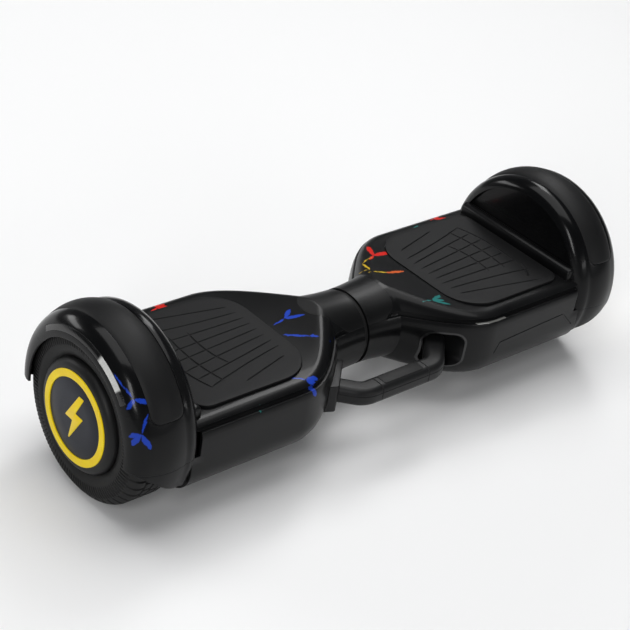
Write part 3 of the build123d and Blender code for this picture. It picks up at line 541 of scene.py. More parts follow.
def make_lower_blank():
    lower = hull_shell("lower", 0.0, 0, seam_z)
    room = revolve("fender_room", [(rim_x - 0.3, rim_radius - 0.3), (rim_x - 0.3, 120), (lip_x, 120),
                                   (lip_x, rim_radius - 0.3)], -110, 110, 160)
    combine(room, box("cut", (0, -reach, foot_z), (reach, reach, 300)), "INTERSECT")
    combine(lower, room)
    cheeks = revolve("cheeks", fender_profile(), -cheek_reach, cheek_reach, 226)
    combine(cheeks, box("cut", (rim_x - 5, -reach, 0), (reach, reach, foot_z - 0.25)), "INTERSECT")
    sweep = [(rim_x - 3, 0), (rim_x - 3, 42)]
    sweep += arc3((243, 44.5), (266, 55), (281, 66), 8) + [(lip_x + 3, foot_z + 4), (lip_x + 3, 0)]
    combine(cheeks, side_prism("cheek_cut", sweep, -reach, reach))
    combine(lower, cheeks, "UNION")
    for x, y in screw_spots:
        hole = [(x + 4.0 * cos(2 * pi * k / 32), y + 4.0 * sin(2 * pi * k / 32)) for k in range(32)]
        combine(lower, prism("hole", hole, 20, body_bottom_z + 6.7))
    combine(lower, join_loops("panel_line", [side_groove(crease, -body_half_width - 0.15, 0.75)]))
    return lower


def round_cut(x, z, radius, y0, y1):
    outline = [(x + radius * cos(2 * pi * k / 64), z + radius * sin(2 * pi * k / 64)) for k in range(64)]
    return side_prism("round_cut", outline, y0, y1)


def pocket_block(name, shrink, back_y):
    width, height = pocket_x1 - pocket_x0 - 2 * shrink, pocket_height - 2 * shrink
    outline = rounded_box_outline(width, height, pocket_corner - shrink, pocket_centre, 10)
    return side_prism(name, outline, back_y, -100)


# ------------------------------------------------------------------ wheels
def tyre_profile():
    """(x, radius, along) points round the tyre from the inner bead over the tread to the outer bead."""
    outer = arc3((291.0, 52.1), (293.6, 57.0), (294.2, 62.0), 6)
    outer += arc3((294.2, 62.0), (293.4, 70.0), (288.5, 78.0), 16)[1:]
    outer += arc3((288.5, 78.0), (285.5, 80.2), (281.0, wheel_radius), 5)[1:]
    outer += [(281.0 - 25.0 * i / 30, wheel_radius) for i in range(1, 31)]
    outer += arc3((256.0, wheel_radius), (251.5, 80.2), (248.5, 78.0), 5)[1:]
    outer += arc3((248.5, 78.0), (244.6, 69.0), (244.2, 57.0), 12)[1:]
    return outer + [(248.0, 52.05)]


def make_tyre(name):
    steps = 720
    ribs = 120
    blocks = 48
    inner_x = 244.0
    row_width = 8.4
    profile = tyre_profile()
    loops = []
    for i in range(steps):
        angle = 360.0 * i / steps
        loop = []
        for x, r in profile:
            shift = 0.0
            if x > 289 and 62.5 < r < 73.5:
                wave = (angle * ribs / 360.0) % 1.0
                shift = -0.55 if wave < 0.5 else 0.35
                x += shift if r < 72.5 else shift * 0.5
            elif r > 79.4:
                row = int((x - inner_x) / row_width)
                wave = (angle * blocks / 360.0 + 0.5 * (row % 2)) % 1.0
                edge = (x - inner_x) / row_width % 1.0
                r -= 1.9 if wave < 0.16 or edge < 0.16 else 0.0
            elif 74.5 < r <= 79.4:
                wave = (angle * blocks / 360.0) % 1.0
                r -= 1.3 if wave < 0.2 else 0.0
            loop.append(round_axle(x, r, angle))
        loops.append(loop)
    return smooth(skin_loops(name, loops, closed=True), 28)


def make_hub_cover(name):
    profile = [(298.6, 0.01), (299.0, 43.6)]
    profile += arc3((299.0, 43.6), (297.6, 48.6), (291.6, 51.7), 10)
    profile += [(289.0, 51.6), (289.0, 30.0), (293.0, 0.01)]
    return smooth(revolve(name, profile, steps=160), 40)


def make_hub_ring(name):
    inner, outer, face = 36.3, 43.35, hub_face_x
    profile = [(hub_seat_x, inner), (face - 0.3, inner), (face - 0.05, inner + 0.35), (face, inner + 0.9)]
    profile += [(face, outer - 0.9), (face - 0.05, outer - 0.35), (face - 0.35, outer), (hub_seat_x, outer)]
    return smooth(revolve(name, profile, steps=160), 50)


def make_hub_badge(name):
    profile = [(hub_seat_x, 0.01), (299.55, 0.01), (299.5, 20.0), (299.3, 35.6), (299.0, 36.2),
               (hub_seat_x, 36.2)]
    return smooth(revolve(name, profile, steps=160), 50)


def make_bolt(name):
    """A generic lightning bolt on the disc in the hub, standing out by a few tenths."""
    corners = [(4.5, 25.0), (-12.5, -3.0), (-2.0, -3.0), (-6.5, -26.0), (12.5, 5.5), (1.5, 5.5),
               (11.5, 25.0)]
    outline = rounded(corners, [0.8] * 7, 3)
    loops = [[(x, y, axle_z + z) for y, z in outline] for x in (299.2, 299.92)]
    bolt = skin_loops(name, loops)
    soften(bolt, 0.22, 2, 50)
    return smooth(bolt, 40)


# ------------------------------------------------------------------ handle
def handle_route():
    """The grip's and arms' centre line: a foot on the bracket, two bends and a free end."""
    rear, front = Vector(bracket_rear), Vector(bracket_front)
    face = front - rear
    foot = rear + foot_share * face
    out = Vector((-face.y, face.x)).normalized()
    if out.y > 0:
        out = -out
    bend = foot + out * ((handle_y - foot.y) / out.y)
    deep = foot - out * tip_inset
    corners = [foot, bend, Vector((-bend.x, bend.y)), Vector((-deep.x, deep.y))]
    route = [corners[0]]
    radius = arm_bend_radius
    for i in (1, 2):
        before = (corners[i - 1] - corners[i]).normalized()
        after = (corners[i + 1] - corners[i]).normalized()
        half = before.angle(after) / 2
        centre = corners[i] + (before + after).normalized() * (radius / sin(half))
        tangent = radius * cos(half) / sin(half)
        a, b = corners[i] + before * tangent - centre, corners[i] + after * tangent - centre
        turn = a.angle_signed(b)
        for k in range(11):
            spoke = a.copy()
            spoke.rotate(Matrix.Rotation(-turn * k / 10, 2))
            route.append(centre + spoke)
    return route + [corners[3]]


def handle_section():
    """Half matte top, half gloss underside, with a fine split line between them, as (across, up)."""
    w, h, c = handle_width / 2, handle_height / 2, 6.0
    quarter = [(c * cos(pi / 2 * i / 8), c * sin(pi / 2 * i / 8)) for i in range(9)]
    top = [(w, 3.0)] + [(w - c + u, h - c + v) for u, v in quarter]
    top += [(-u, v) for u, v in top[::-1]]
    low = [(-w, 2.2)] + [(-w + c - u, -h + c - v) for u, v in quarter]
    low += [(-u, v) for u, v in low[::-1]]
    return top + [(-w + 0.7, 2.6)] + low + [(w - 0.7, 2.6)], len(top)


def sweep_handle(name, x0, x1):
    """One length of the handle between two places along X, its ends slightly rounded."""
    route = handle_route()
    line = []
    for a, b in zip(route, route[1:]):
        pieces = max(1, ceil((b - a).length / 3.0))
        line += [a + (b - a) * k / pieces for k in range(pieces)]
    line.append(route[-1])
    kept = [p for p in line if x0 + 0.6 < p.x < x1 - 0.6]
    if x0 > -100:
        kept = [Vector((x0, handle_y)), Vector((x0 + 0.5, handle_y))] + kept
    if x1 < 100:
        kept = kept + [Vector((x1 - 0.5, handle_y)), Vector((x1, handle_y))]
    section, top_count = handle_section()
    loops = []
    last = len(kept) - 1
    for i, p in enumerate(kept):
        ahead = (kept[min(i + 1, last)] - kept[max(i - 1, 0)]).normalized()
        across = Vector((ahead.y, -ahead.x))
        size = 0.955 if (i == 0 and x0 > -100) or (i == last and x1 < 100) else 1.0
        loops.append([(p.x + across.x * u * size, p.y + across.y * u * size, handle_z + v * size)
                      for u, v in section])
    piece = skin_loops(name, loops)
    count = len(section)
    for polygon in piece.data.polygons:
        places = sorted(v % count for v in polygon.vertices)
        on_top = places[-1] < top_count and len(places) == 4
        polygon.material_index = 0 if on_top else 1
    return smooth(piece, 38)


# ------------------------------------------------------------------ finishes
class Amount:
    """A number that changes over a surface; sums on it add the nodes that work it out."""

    def __init__(self, finish, socket):
        self.finish = finish
        self.socket = socket

    def _sum(self, operation, first, second):
        node = self.finish.node("ShaderNodeMath", {"operation": operation}, {0: first, 1: second})
        return Amount(self.finish, node.outputs[0])

    def __add__(self, other):
        return self._sum("ADD", self, other)

    __radd__ = __add__

    def __sub__(self, other):
        return self._sum("SUBTRACT", self, other)

    def __rsub__(self, other):
        return self._sum("SUBTRACT", other, self)

    def __mul__(self, other):
        return self._sum("MULTIPLY", self, other)

    __rmul__ = __mul__

    def __truediv__(self, other):
        return self._sum("DIVIDE", self, other)

    def __pow__(self, other):
        return self._sum("POWER", self, other)

    def least(self, other):
        return self._sum("MINIMUM", self, other)

    def most(self, other):
        return self._sum("MAXIMUM", self, other)

    def between(self, low, high):
        """0 below low, 1 above high, smooth between them."""
        node = self.finish.node("ShaderNodeMapRange", {"interpolation_type": "SMOOTHSTEP"},
                                {"Value": self, "From Min": low, "From Max": high})
        return Amount(self.finish, node.outputs["Result"])


class Finish:
    """One material, built node by node."""

    def __init__(self, name, **shader):
        self.material = bpy.data.materials.new(name)
        self.material.use_nodes = True
        self.tree = self.material.node_tree
        self.tree.nodes.clear()
        self.shader = self.node("ShaderNodeBsdfPrincipled")
        self.node("ShaderNodeOutputMaterial", {}, {"Surface": self.shader.outputs[0]})
        for key, value in shader.items():
            self.shader.inputs[key.replace("_", " ").title().replace("Ior", "IOR")].default_value = value
        places = self.node("ShaderNodeTexCoord")
        self.place = places.outputs["Object"]

    def node(self, kind, settings=None, values=None):
        """A node of that type, its settings made first, then its sockets' values or links."""
        node = self.tree.nodes.new(kind)
        for key, value in (settings or {}).items():
            setattr(node, key, value)
        for key, value in (values or {}).items():
            self.feed(node.inputs[key], value)
        return node

    def feed(self, socket, value):
        if isinstance(value, Amount):
            value = value.socket
        if isinstance(value, bpy.types.NodeSocket):
            self.tree.links.new(value, socket)
        else:
            socket.default_value = value

    def set(self, name, value):
        self.feed(self.shader.inputs[name], value)

    def noise(self, scale, detail=3.0, roughness=0.5, distortion=0.0, place=None):
        node = self.node("ShaderNodeTexNoise", {}, {
            "Vector": place or self.place, "Scale": scale, "Detail": detail,
            "Roughness": roughness, "Distortion": distortion})
        return Amount(self, node.outputs["Factor"] if "Factor" in node.outputs else node.outputs[0])

    def cells(self, scale, feature="F1", randomness=1.0, place=None):
        node = self.node("ShaderNodeTexVoronoi", {"feature": feature}, {
            "Vector": place or self.place, "Scale": scale, "Randomness": randomness})
        return Amount(self, node.outputs["Distance"])

    def axes(self, place=None):
        node = self.node("ShaderNodeSeparateXYZ", {}, {0: place or self.place})
        return [Amount(self, node.outputs[i]) for i in range(3)]

    def vector(self, operation, first, second=None, scale=None):
        values = {0: first}
        if second is not None:
            values[1] = second
        if scale is not None:
            values["Scale"] = scale
        return self.node("ShaderNodeVectorMath", {"operation": operation}, values)

    def mix(self, share, first, second):
        node = self.node("ShaderNodeMix", {"data_type": "RGBA"}, {0: share, 6: first, 7: second})
        return node.outputs[2]

    def bump(self, height, depth, strength=1.0, under=None):
        """Raises the surface by height times depth metres, over an earlier bump if one is given."""
        values = {"Height": height, "Distance": depth, "Strength": strength}
        if under is not None:
            values["Normal"] = under
        return self.node("ShaderNodeBump", {}, values).outputs[0]

    def edges(self, radius, samples=6):
        """The rounding that moulded edges have."""
        return self.node("ShaderNodeBevel", {"samples": samples}, {"Radius": radius * MM}).outputs[0]


def rgb(red, green, blue):
    return (red, green, blue, 1.0)


def stroke(finish, place, start, end, width):
    """1 inside a leaf between two points, pointed at both ends, 0 outside."""
    a, b = Vector(start) * MM, Vector(end) * MM
    along = b - a
    offset = finish.vector("SUBTRACT", place, tuple(a)).outputs[0]
    reached = finish.vector("DOT_PRODUCT", offset, tuple(along / along.length_squared))
    share = Amount(finish, reached.outputs[1]).most(0.0).least(1.0)
    near = finish.vector("SCALE", tuple(along), scale=share).outputs[0]
    apart = finish.vector("SUBTRACT", offset, near).outputs[0]
    distance = Amount(finish, finish.vector("LENGTH", apart).outputs[1])
    leaf = (share * (1.0 - share) * 4.0) ** 0.6
    return 1.0 - (distance - leaf * (width * MM)).between(-0.0005, 0.0003)


def gloss_shell(name, leaves):
    """High gloss black lacquer with printed splashes under the clear coat."""
    finish = Finish(name, coat_weight=0.10, coat_roughness=0.05, specular_ior_level=0.12)
    cloud = finish.noise(9.0, 3.0, 0.6)
    colour = finish.mix(cloud.between(0.35, 0.7), rgb(0.0030, 0.0031, 0.0034), rgb(0.0060, 0.0061, 0.0064))
    ragged = finish.node("ShaderNodeTexNoise", {}, {"Vector": finish.place, "Scale": 260.0, "Detail": 2.0})
    centred = finish.vector("SUBTRACT", ragged.outputs["Color"], (0.5, 0.5, 0.5)).outputs[0]
    shaken = finish.vector("SCALE", centred, scale=0.0030).outputs[0]
    place = finish.vector("ADD", finish.place, shaken).outputs[0]
    for tint, shapes in leaves:
        mask = None
        for start, end, width in shapes:
            shape = stroke(finish, place, start, end, width)
            mask = shape if mask is None else mask.most(shape)
        colour = finish.mix(mask * 0.94, colour, rgb(*tint))
    finish.set("Base Color", colour)
    dust = finish.noise(1400.0, 2.0, 0.6)
    crown = finish.axes()[2].between(0.118, 0.135)
    finish.set("Roughness", 0.27 - crown * 0.11 + cloud * 0.07 + dust.between(0.62, 0.8) * 0.1)
    peel = finish.noise(420.0, 2.0, 0.5)
    finish.set("Normal", finish.bump(peel, 0.000012, 0.6, finish.edges(0.7)))
    return finish.material


def matte_trim(name="matte_trim", shade=0.0062, rough=0.5):
    """Fine-textured charcoal moulding."""
    finish = Finish(name, specular_ior_level=0.2)
    cloud = finish.noise(26.0, 4.0, 0.6)
    finish.set("Base Color", finish.mix(cloud, rgb(shade * 0.85, shade * 0.86, shade * 0.9),
                                        rgb(shade * 1.25, shade * 1.26, shade * 1.32)))
    grain = finish.noise(3200.0, 2.0, 0.6)
    finish.set("Roughness", rough - 0.05 + cloud * 0.08 + grain * 0.05)
    finish.set("Normal", finish.bump(grain, 0.00003, 0.55, finish.edges(0.5)))
    return finish.material


def pad_rubber():
    """Foot pad rubber with a fine leather-like grain and worn, paler ridges."""
    finish = Finish("pad_rubber", specular_ior_level=0.16)
    cloud = finish.noise(18.0, 4.0, 0.6)
    grain = finish.cells(900.0)
    fine = finish.noise(2600.0, 3.0, 0.6)
    worn = finish.noise(7.0, 2.0, 0.5).between(0.45, 0.75)
    colour = finish.mix(cloud, rgb(0.0036, 0.0036, 0.0040), rgb(0.0066, 0.0067, 0.0072))
    finish.set("Base Color", finish.mix(worn * 0.35, colour, rgb(0.0092, 0.0094, 0.0100)))
    finish.set("Roughness", 0.46 + cloud * 0.12 + worn * 0.05)
    leather = finish.bump(grain, 0.00006, 0.45, finish.edges(0.35))
    finish.set("Normal", finish.bump(fine, 0.00003, 0.5, leather))
    return finish.material


def tyre_rubber():
    finish = Finish("tyre_rubber", specular_ior_level=0.24)
    cloud = finish.noise(30.0, 5.0, 0.65)
    dust = finish.noise(220.0, 3.0, 0.6).between(0.5, 0.8)
    colour = finish.mix(cloud, rgb(0.0045, 0.0045, 0.0046), rgb(0.0095, 0.0095, 0.0096))
    finish.set("Base Color", finish.mix(dust * 0.25, colour, rgb(0.018, 0.0178, 0.0165)))
    grain = finish.noise(2200.0, 3.0, 0.6)
    finish.set("Roughness", 0.5 + cloud * 0.15 + dust * 0.1)
    finish.set("Normal", finish.bump(grain, 0.00005, 0.5))
    return finish.material


def hub_plastic():
    """Satin black cover with faint turning marks round its middle."""
    finish = Finish("hub_plastic", specular_ior_level=0.24)
    y, z = finish.axes()[1:]
    height = z - axle_z * MM
    radius = (y * y + height * height) ** 0.5
    rings = finish.node("ShaderNodeMath", {"operation": "SINE"}, {0: radius * 9000.0})
    cloud = finish.noise(40.0, 4.0, 0.6)
    finish.set("Base Color", finish.mix(cloud, rgb(0.005, 0.005, 0.0052), rgb(0.0095, 0.0096, 0.0098)))
    finish.set("Roughness", 0.42 + cloud * 0.1)
    grain = finish.noise(2400.0, 2.0, 0.6)
    soft = finish.bump(Amount(finish, rings.outputs[0]), 0.000006, 0.4, finish.edges(0.5))
    finish.set("Normal", finish.bump(grain, 0.00003, 0.5, soft))
    return finish.material


def enamel(name, base, light, rough=0.28):
    """Printed and lacquered colour, a little uneven, with fine scratches."""
    finish = Finish(name, specular_ior_level=0.22)
    cloud = finish.noise(55.0, 4.0, 0.6)
    finish.set("Base Color", finish.mix(cloud.between(0.3, 0.75), rgb(*base), rgb(*light)))
    stretched = finish.vector("MULTIPLY", finish.place, (300.0, 60.0, 900.0)).outputs[0]
    scratch = finish.noise(3.0, 2.0, 0.7, 0.3, stretched).between(0.66, 0.74)
    finish.set("Roughness", rough + scratch * 0.18 + cloud * 0.05)
    finish.set("Normal", finish.bump(finish.noise(900.0, 2.0, 0.5), 0.00001, 0.5, finish.edges(0.3)))
    return finish.material


def lamp_lens(name, clear, dark, reflection_from, reflection_to):
    """Lens over a lamp: a pale tip that is a painted reflection, and a dark tinted stretch, by the angle
    round the axle.
    """
    finish = Finish(name, coat_weight=0.3, coat_roughness=0.04, specular_ior_level=0.4)
    x, y, z = finish.axes()
    side = finish.node("ShaderNodeMath", {"operation": "SIGN"}, {0: x})
    forward = y * Amount(finish, side.outputs[0])
    angle = finish.node("ShaderNodeMath", {"operation": "ARCTAN2"}, {0: forward, 1: z - axle_z * MM})
    turn = Amount(finish, angle.outputs[0])
    # painted reflection: the lens is painted pale between two angles round the axle, standing in for a
    # reflection on its front end
    painted_reflection = turn.between(radians(reflection_from - 1.5), radians(reflection_from + 1.5))
    painted_reflection = painted_reflection * (1.0 - turn.between(radians(reflection_to - 1), radians(reflection_to + 1)))
    flutes = finish.node("ShaderNodeMath", {"operation": "SINE"}, {0: turn * 260.0})
    flute = Amount(finish, flutes.outputs[0]) * 0.5 + 0.5
    # colour of the painted reflection: pale grey with faint flutes
    painted_reflection_colour = finish.mix(flute * 0.3, rgb(*clear), rgb(0.5, 0.5, 0.5))
    finish.set("Base Color", finish.mix(painted_reflection, rgb(*dark), painted_reflection_colour))
    finish.set("Roughness", 0.12 + painted_reflection * 0.12)
    finish.set("Normal", finish.bump(flute, 0.00008, 0.4, finish.edges(0.4)))
    return finish.material


def metal(name, base, rough, brushed=0.0):
    finish = Finish(name, metallic=1.0)
    cloud = finish.noise(60.0, 4.0, 0.6)
    finish.set("Base Color", finish.mix(cloud, rgb(*[c * 0.82 for c in base]), rgb(*base)))
    stretched = finish.vector("MULTIPLY", finish.place, (1500.0, 80.0, 80.0)).outputs[0]
    marks = finish.noise(1.0, 2.0, 0.6, 0.0, stretched)
    finish.set("Roughness", rough + cloud * 0.1 + marks * brushed)
    finish.set("Normal", finish.bump(marks, 0.00002, 0.3 + brushed, finish.edges(0.3)))
    return finish.material


def plain_moulding(name, base, rough, coat=0.0):
    """Small parts inside and behind: moulded plastic, rubber, board or wrap, softly mottled."""
    finish = Finish(name, specular_ior_level=0.3, coat_weight=coat, coat_roughness=0.1)
    cloud = finish.noise(45.0, 4.0, 0.6)
    finish.set("Base Color", finish.mix(cloud, rgb(*[c * 0.8 for c in base]), rgb(*[c * 1.1 for c in base])))
    grain = finish.noise(2600.0, 2.0, 0.6)
    finish.set("Roughness", rough + cloud * 0.08)
    finish.set("Normal", finish.bump(grain, 0.00002, 0.5, finish.edges(0.4)))
    return finish.material


def circuit_board():
    """Green solder mask with lighter tracks."""
    finish = Finish("circuit_board", coat_weight=0.4, coat_roughness=0.2)
    tracks = finish.cells(140.0, "DISTANCE_TO_EDGE", 0.4).between(0.03, 0.06)
    finish.set("Base Color", finish.mix(tracks, rgb(0.05, 0.22, 0.07), rgb(0.008, 0.07, 0.025)))
    finish.set("Roughness", 0.35 + tracks * 0.1)
    finish.set("Normal", finish.bump(tracks, 0.00003, 0.5))
    return finish.material


# Splashes are laid out on the unrolled surface: on the deck by x and y, and on the fender's
# outer shoulder by x and the way round it from the top towards the handle, in mm.
def on_deck(x, y):
    half_width, _, top, _, high_corner = hull_size(abs(x))
    over = max(abs(y) - (half_width - high_corner), 0.0)
    fall = high_corner - sqrt(max(high_corner ** 2 - over ** 2, 0.0))
    return x, y, top - fall


def on_fender(x, way):
    out = min(max((abs(x) - strip_x1) / (lip_x - strip_x1), 0.0), 1.0)
    radius = lip_radius + (seam_radius - lip_radius) * sqrt(1 - out ** 2)
    turn = way / seam_radius
    return x, -radius * sin(turn), axle_z + radius * cos(turn)


def sprig(surface, foot, tip, petals, fan, length, width):
    """A thin stem with pointed petals fanned out from its tip."""
    foot, tip = Vector(foot), Vector(tip)
    leaves = [(surface(*foot), surface(*tip), width * 0.5)]
    for i in range(petals):
        turn = radians(fan) * (i / (petals - 1) - 0.5)
        petal = (tip - foot).normalized() * length * (1.0 - 0.25 * (i % 2))
        petal.rotate(Matrix.Rotation(turn, 2))
        leaves.append((surface(*tip), surface(*(tip + petal)), width))
    return leaves


def crack(surface, width, *points):
    """Thin strokes from point to point."""
    return [(surface(*a), surface(*b), width) for a, b in zip(points, points[1:])]


blue, teal, red, orange, yellow, pale = ((0.012, 0.05, 0.42), (0.015, 0.16, 0.15), (0.62, 0.016, 0.01),
                                         (0.62, 0.11, 0.02), (0.62, 0.42, 0.02), (0.30, 0.52, 0.68))
SPLASHES_LEFT = [
    (blue, sprig(on_deck, (-88, 0), (-74, 1), 2, 55, 18, 2.2)
     + sprig(on_deck, (-90, -16), (-72, -32), 3, 55, 26, 2.6)
     + sprig(on_deck, (-126, -68), (-114, -77), 3, 60, 13, 2.6)
     + sprig(on_fender, (-296, 48), (-291, 76), 2, 95, 12, 2.0)
     + sprig(on_fender, (-284, 90), (-292, 106), 3, 100, 16, 2.4)),
    (teal, crack(on_deck, 1.2, (-170, -83), (-172, -87))),
    (red, sprig(on_deck, (-170, 73), (-162, 75), 3, 80, 14, 3.0)),
    (pale, sprig(on_fender, (-275, 94), (-272, 98), 2, 80, 7, 2.2)
     + sprig(on_fender, (-264, 94), (-261, 98), 2, 80, 6, 2.0)),
]
SPLASHES_RIGHT = [
    (teal, sprig(on_deck, (60, -40), (72, -42), 3, 60, 18, 2.2)
     + sprig(on_deck, (150, 70), (156, 71), 2, 30, 14, 1.6)),
    (red, sprig(on_deck, (66, 40), (77, 47), 2, 60, 28, 3.0)
     + sprig(on_deck, (184, 77), (190, 77), 2, 40, 15, 2.2)),
    (orange, crack(on_deck, 2.2, (63, 14), (87, 13))),
    (yellow, crack(on_deck, 1.3, (72, 44), (56, 40), (50, 23), (43, 30))
     + crack(on_deck, 1.4, (44, 20), (65, 14))),
    (pale, crack(on_fender, 2.2, (260, 96), (265, 99)) + crack(on_fender, 2.2, (272, 96), (278, 99))),
]


# ------------------------------------------------------------------ the pieces
def dress(piece, body, nodes, slot, *materials):
    """Gives a piece its finish, its body and the CAD nodes that it stands for."""
    if materials:
        piece.data.materials.clear()
        for material in materials:
            piece.data.materials.append(material)
    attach(piece, body)
    if nodes:
        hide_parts(*nodes)
    return piece


def both_sides(right, name, body, slot, material):
    """A right piece and its left copy, each standing for the node of the same name."""
    right.name = f"{name}_right_look"
    left = turned(right, f"{name}_left_look")
    for piece, side in ((right, "right"), (left, "left")):
        dress(piece, body.format(side=side), [f"{name}_{side}"], slot, material)


lacquer_right = gloss_shell("gloss_shell_right", SPLASHES_RIGHT)
lacquer_left = gloss_shell("gloss_shell_left", SPLASHES_LEFT)
trim = matte_trim()
collar_trim = matte_trim("collar_trim", 0.0042, 0.36)
handle_top = matte_trim("handle_matte", 0.0085, 0.38)
rubber = pad_rubber()
tyre_black = tyre_rubber()

upper_blank = make_upper_blank()
upper_left = turned(upper_blank, "upper_shell_left_look")
combine(upper_blank, prism("collar_cut", collar_plan_right(), seam_z - 3, 140))
combine(upper_left, prism("collar_cut", collar_plan_left(), seam_z - 3, 140))
upper_blank.name = "upper_shell_right_look"
dress(smooth(upper_blank), "right_half", ["upper_shell_right"], "gloss_shell", lacquer_right)
dress(smooth(upper_left), "left_half", ["upper_shell_left"], "gloss_shell", lacquer_left)

lower_blank = make_lower_blank()
lower_left = turned(lower_blank, "lower_shell_left_look")
combine(lower_blank, pocket_block("pocket", 0.0, -40))
combine(lower_blank, round_cut(150.0, 72.0, 11.0, 70, 100))
combine(lower_left, round_cut(-150.0, 70.0, 9.0, 70, 100))
lower_blank.name = "lower_shell_right_look"
dress(smooth(lower_blank), "right_half", ["lower_shell_right"], "gloss_shell", lacquer_right)
dress(smooth(lower_left), "left_half", ["lower_shell_left"], "gloss_shell", lacquer_left)

collar_right = hull_shell("collar_right_look", 0.0, seam_z, 200)
combine(collar_right, prism("zone", collar_plan_right(), seam_z, 140), "INTERSECT")
dress(smooth(collar_right), "right_half", ["collar_right"], "matte_trim", collar_trim)
collar_shell = hull_shell("collar_blank", 0.0, seam_z, 200)
collar_left = turned(collar_shell, "collar_left_look")
drop(collar_shell)
combine(collar_left, prism("zone", collar_plan_left(), seam_z, 140), "INTERSECT")
dress(smooth(collar_left), "left_half", ["collar_left"], "matte_trim", collar_trim)

both_sides(smooth(strip_block("strip", 0.0, 88.9), 35), "fender_strip", "{side}_half", "matte_trim", trim)
both_sides(make_footpad(), "footpad", "pad_{side}", "pad_rubber", rubber)
both_sides(make_tyre("tyre"), "tyre", "wheel_{side}", "tyre_rubber", tyre_black)
both_sides(make_hub_cover("cover"), "hub_cover", "wheel_{side}", "hub_plastic", hub_plastic())
yellow_enamel = enamel("yellow_ring", (0.88, 0.62, 0.001), (0.95, 0.72, 0.002))
both_sides(make_hub_ring("ring"), "hub_ring", "wheel_{side}", "yellow_ring", yellow_enamel)
navy = enamel("badge_print", (0.0045, 0.0065, 0.014), (0.0075, 0.0105, 0.021), 0.34)
both_sides(make_hub_badge("badge"), "hub_badge", "wheel_{side}", "badge_print", navy)
bolt_right = make_bolt("hub_bolt_right")
bolt_left = turned(bolt_right, "hub_bolt_left")
dress(bolt_right, "wheel_right", [], "yellow_ring", yellow_enamel)
dress(bolt_left, "wheel_left", [], "yellow_ring", yellow_enamel)

handle_gloss = plain_moulding("handle_gloss", (0.0045, 0.0045, 0.0048), 0.16, 0.15)
for part, x0, x1 in (("handle_arm_left", -reach, -grip_half - 0.2), ("handle_grip", -grip_half, grip_half),
                     ("handle_arm_right", grip_half + 0.2, reach)):
    length = sweep_handle(f"{part}_look", x0, x1)
    dress(length, "left_half", [part], "handle_plastic", handle_top, handle_gloss)


def make_grip_insert():
    """Textured insert let into the grip's top."""
    outline = rounded_box_outline(2 * grip_half - 9.0, 12.5, 2.2, (0.0, handle_y + 0.2), 5)
    top = handle_z + handle_height / 2
    insert = prism("grip_insert", outline, top - 0.6, top + 0.35)
    soften(insert, 0.25, 2, 50)
    return smooth(insert, 40)


dress(make_grip_insert(), "left_half", [], "handle_plastic", matte_trim("grip_insert", 0.0065, 0.5))


def make_bracket():
    plan = rounded([bracket_rear, bracket_front, (-82.5, -69.0), (-76, -52), (-50, -30), (-43, -38)],
                   [1.5, 3, 5, 3, 1, 1], 5)
    bracket = prism("bracket", plan, handle_z - 16, handle_z + 12)
    soften(bracket, 2.2, 4, 40)
    tool = hull("hull_tool", half_gap - 2, hull_end_x, -0.3)
    tool.data.transform(Matrix.Rotation(pi, 4, "Z"))
    combine(bracket, tool)
    return smooth(bracket, 35)


bracket = make_bracket()
bracket.name = "handle_bracket_look"
dress(bracket, "left_half", ["handle_bracket"], "matte_trim", handle_top)

pocket = pocket_block("handle_pocket_look", 0.0, -40)
combine(pocket, pocket_block("pocket_room", 2.0, -42))
combine(pocket, hull("hull_tool", half_gap, hull_end_x, 0.05), "INTERSECT")
lining = plain_moulding("pocket_lining", (0.006, 0.006, 0.0065), 0.3, 0.5)
dress(smooth(pocket), "right_half", ["handle_pocket"], "matte_trim", lining)

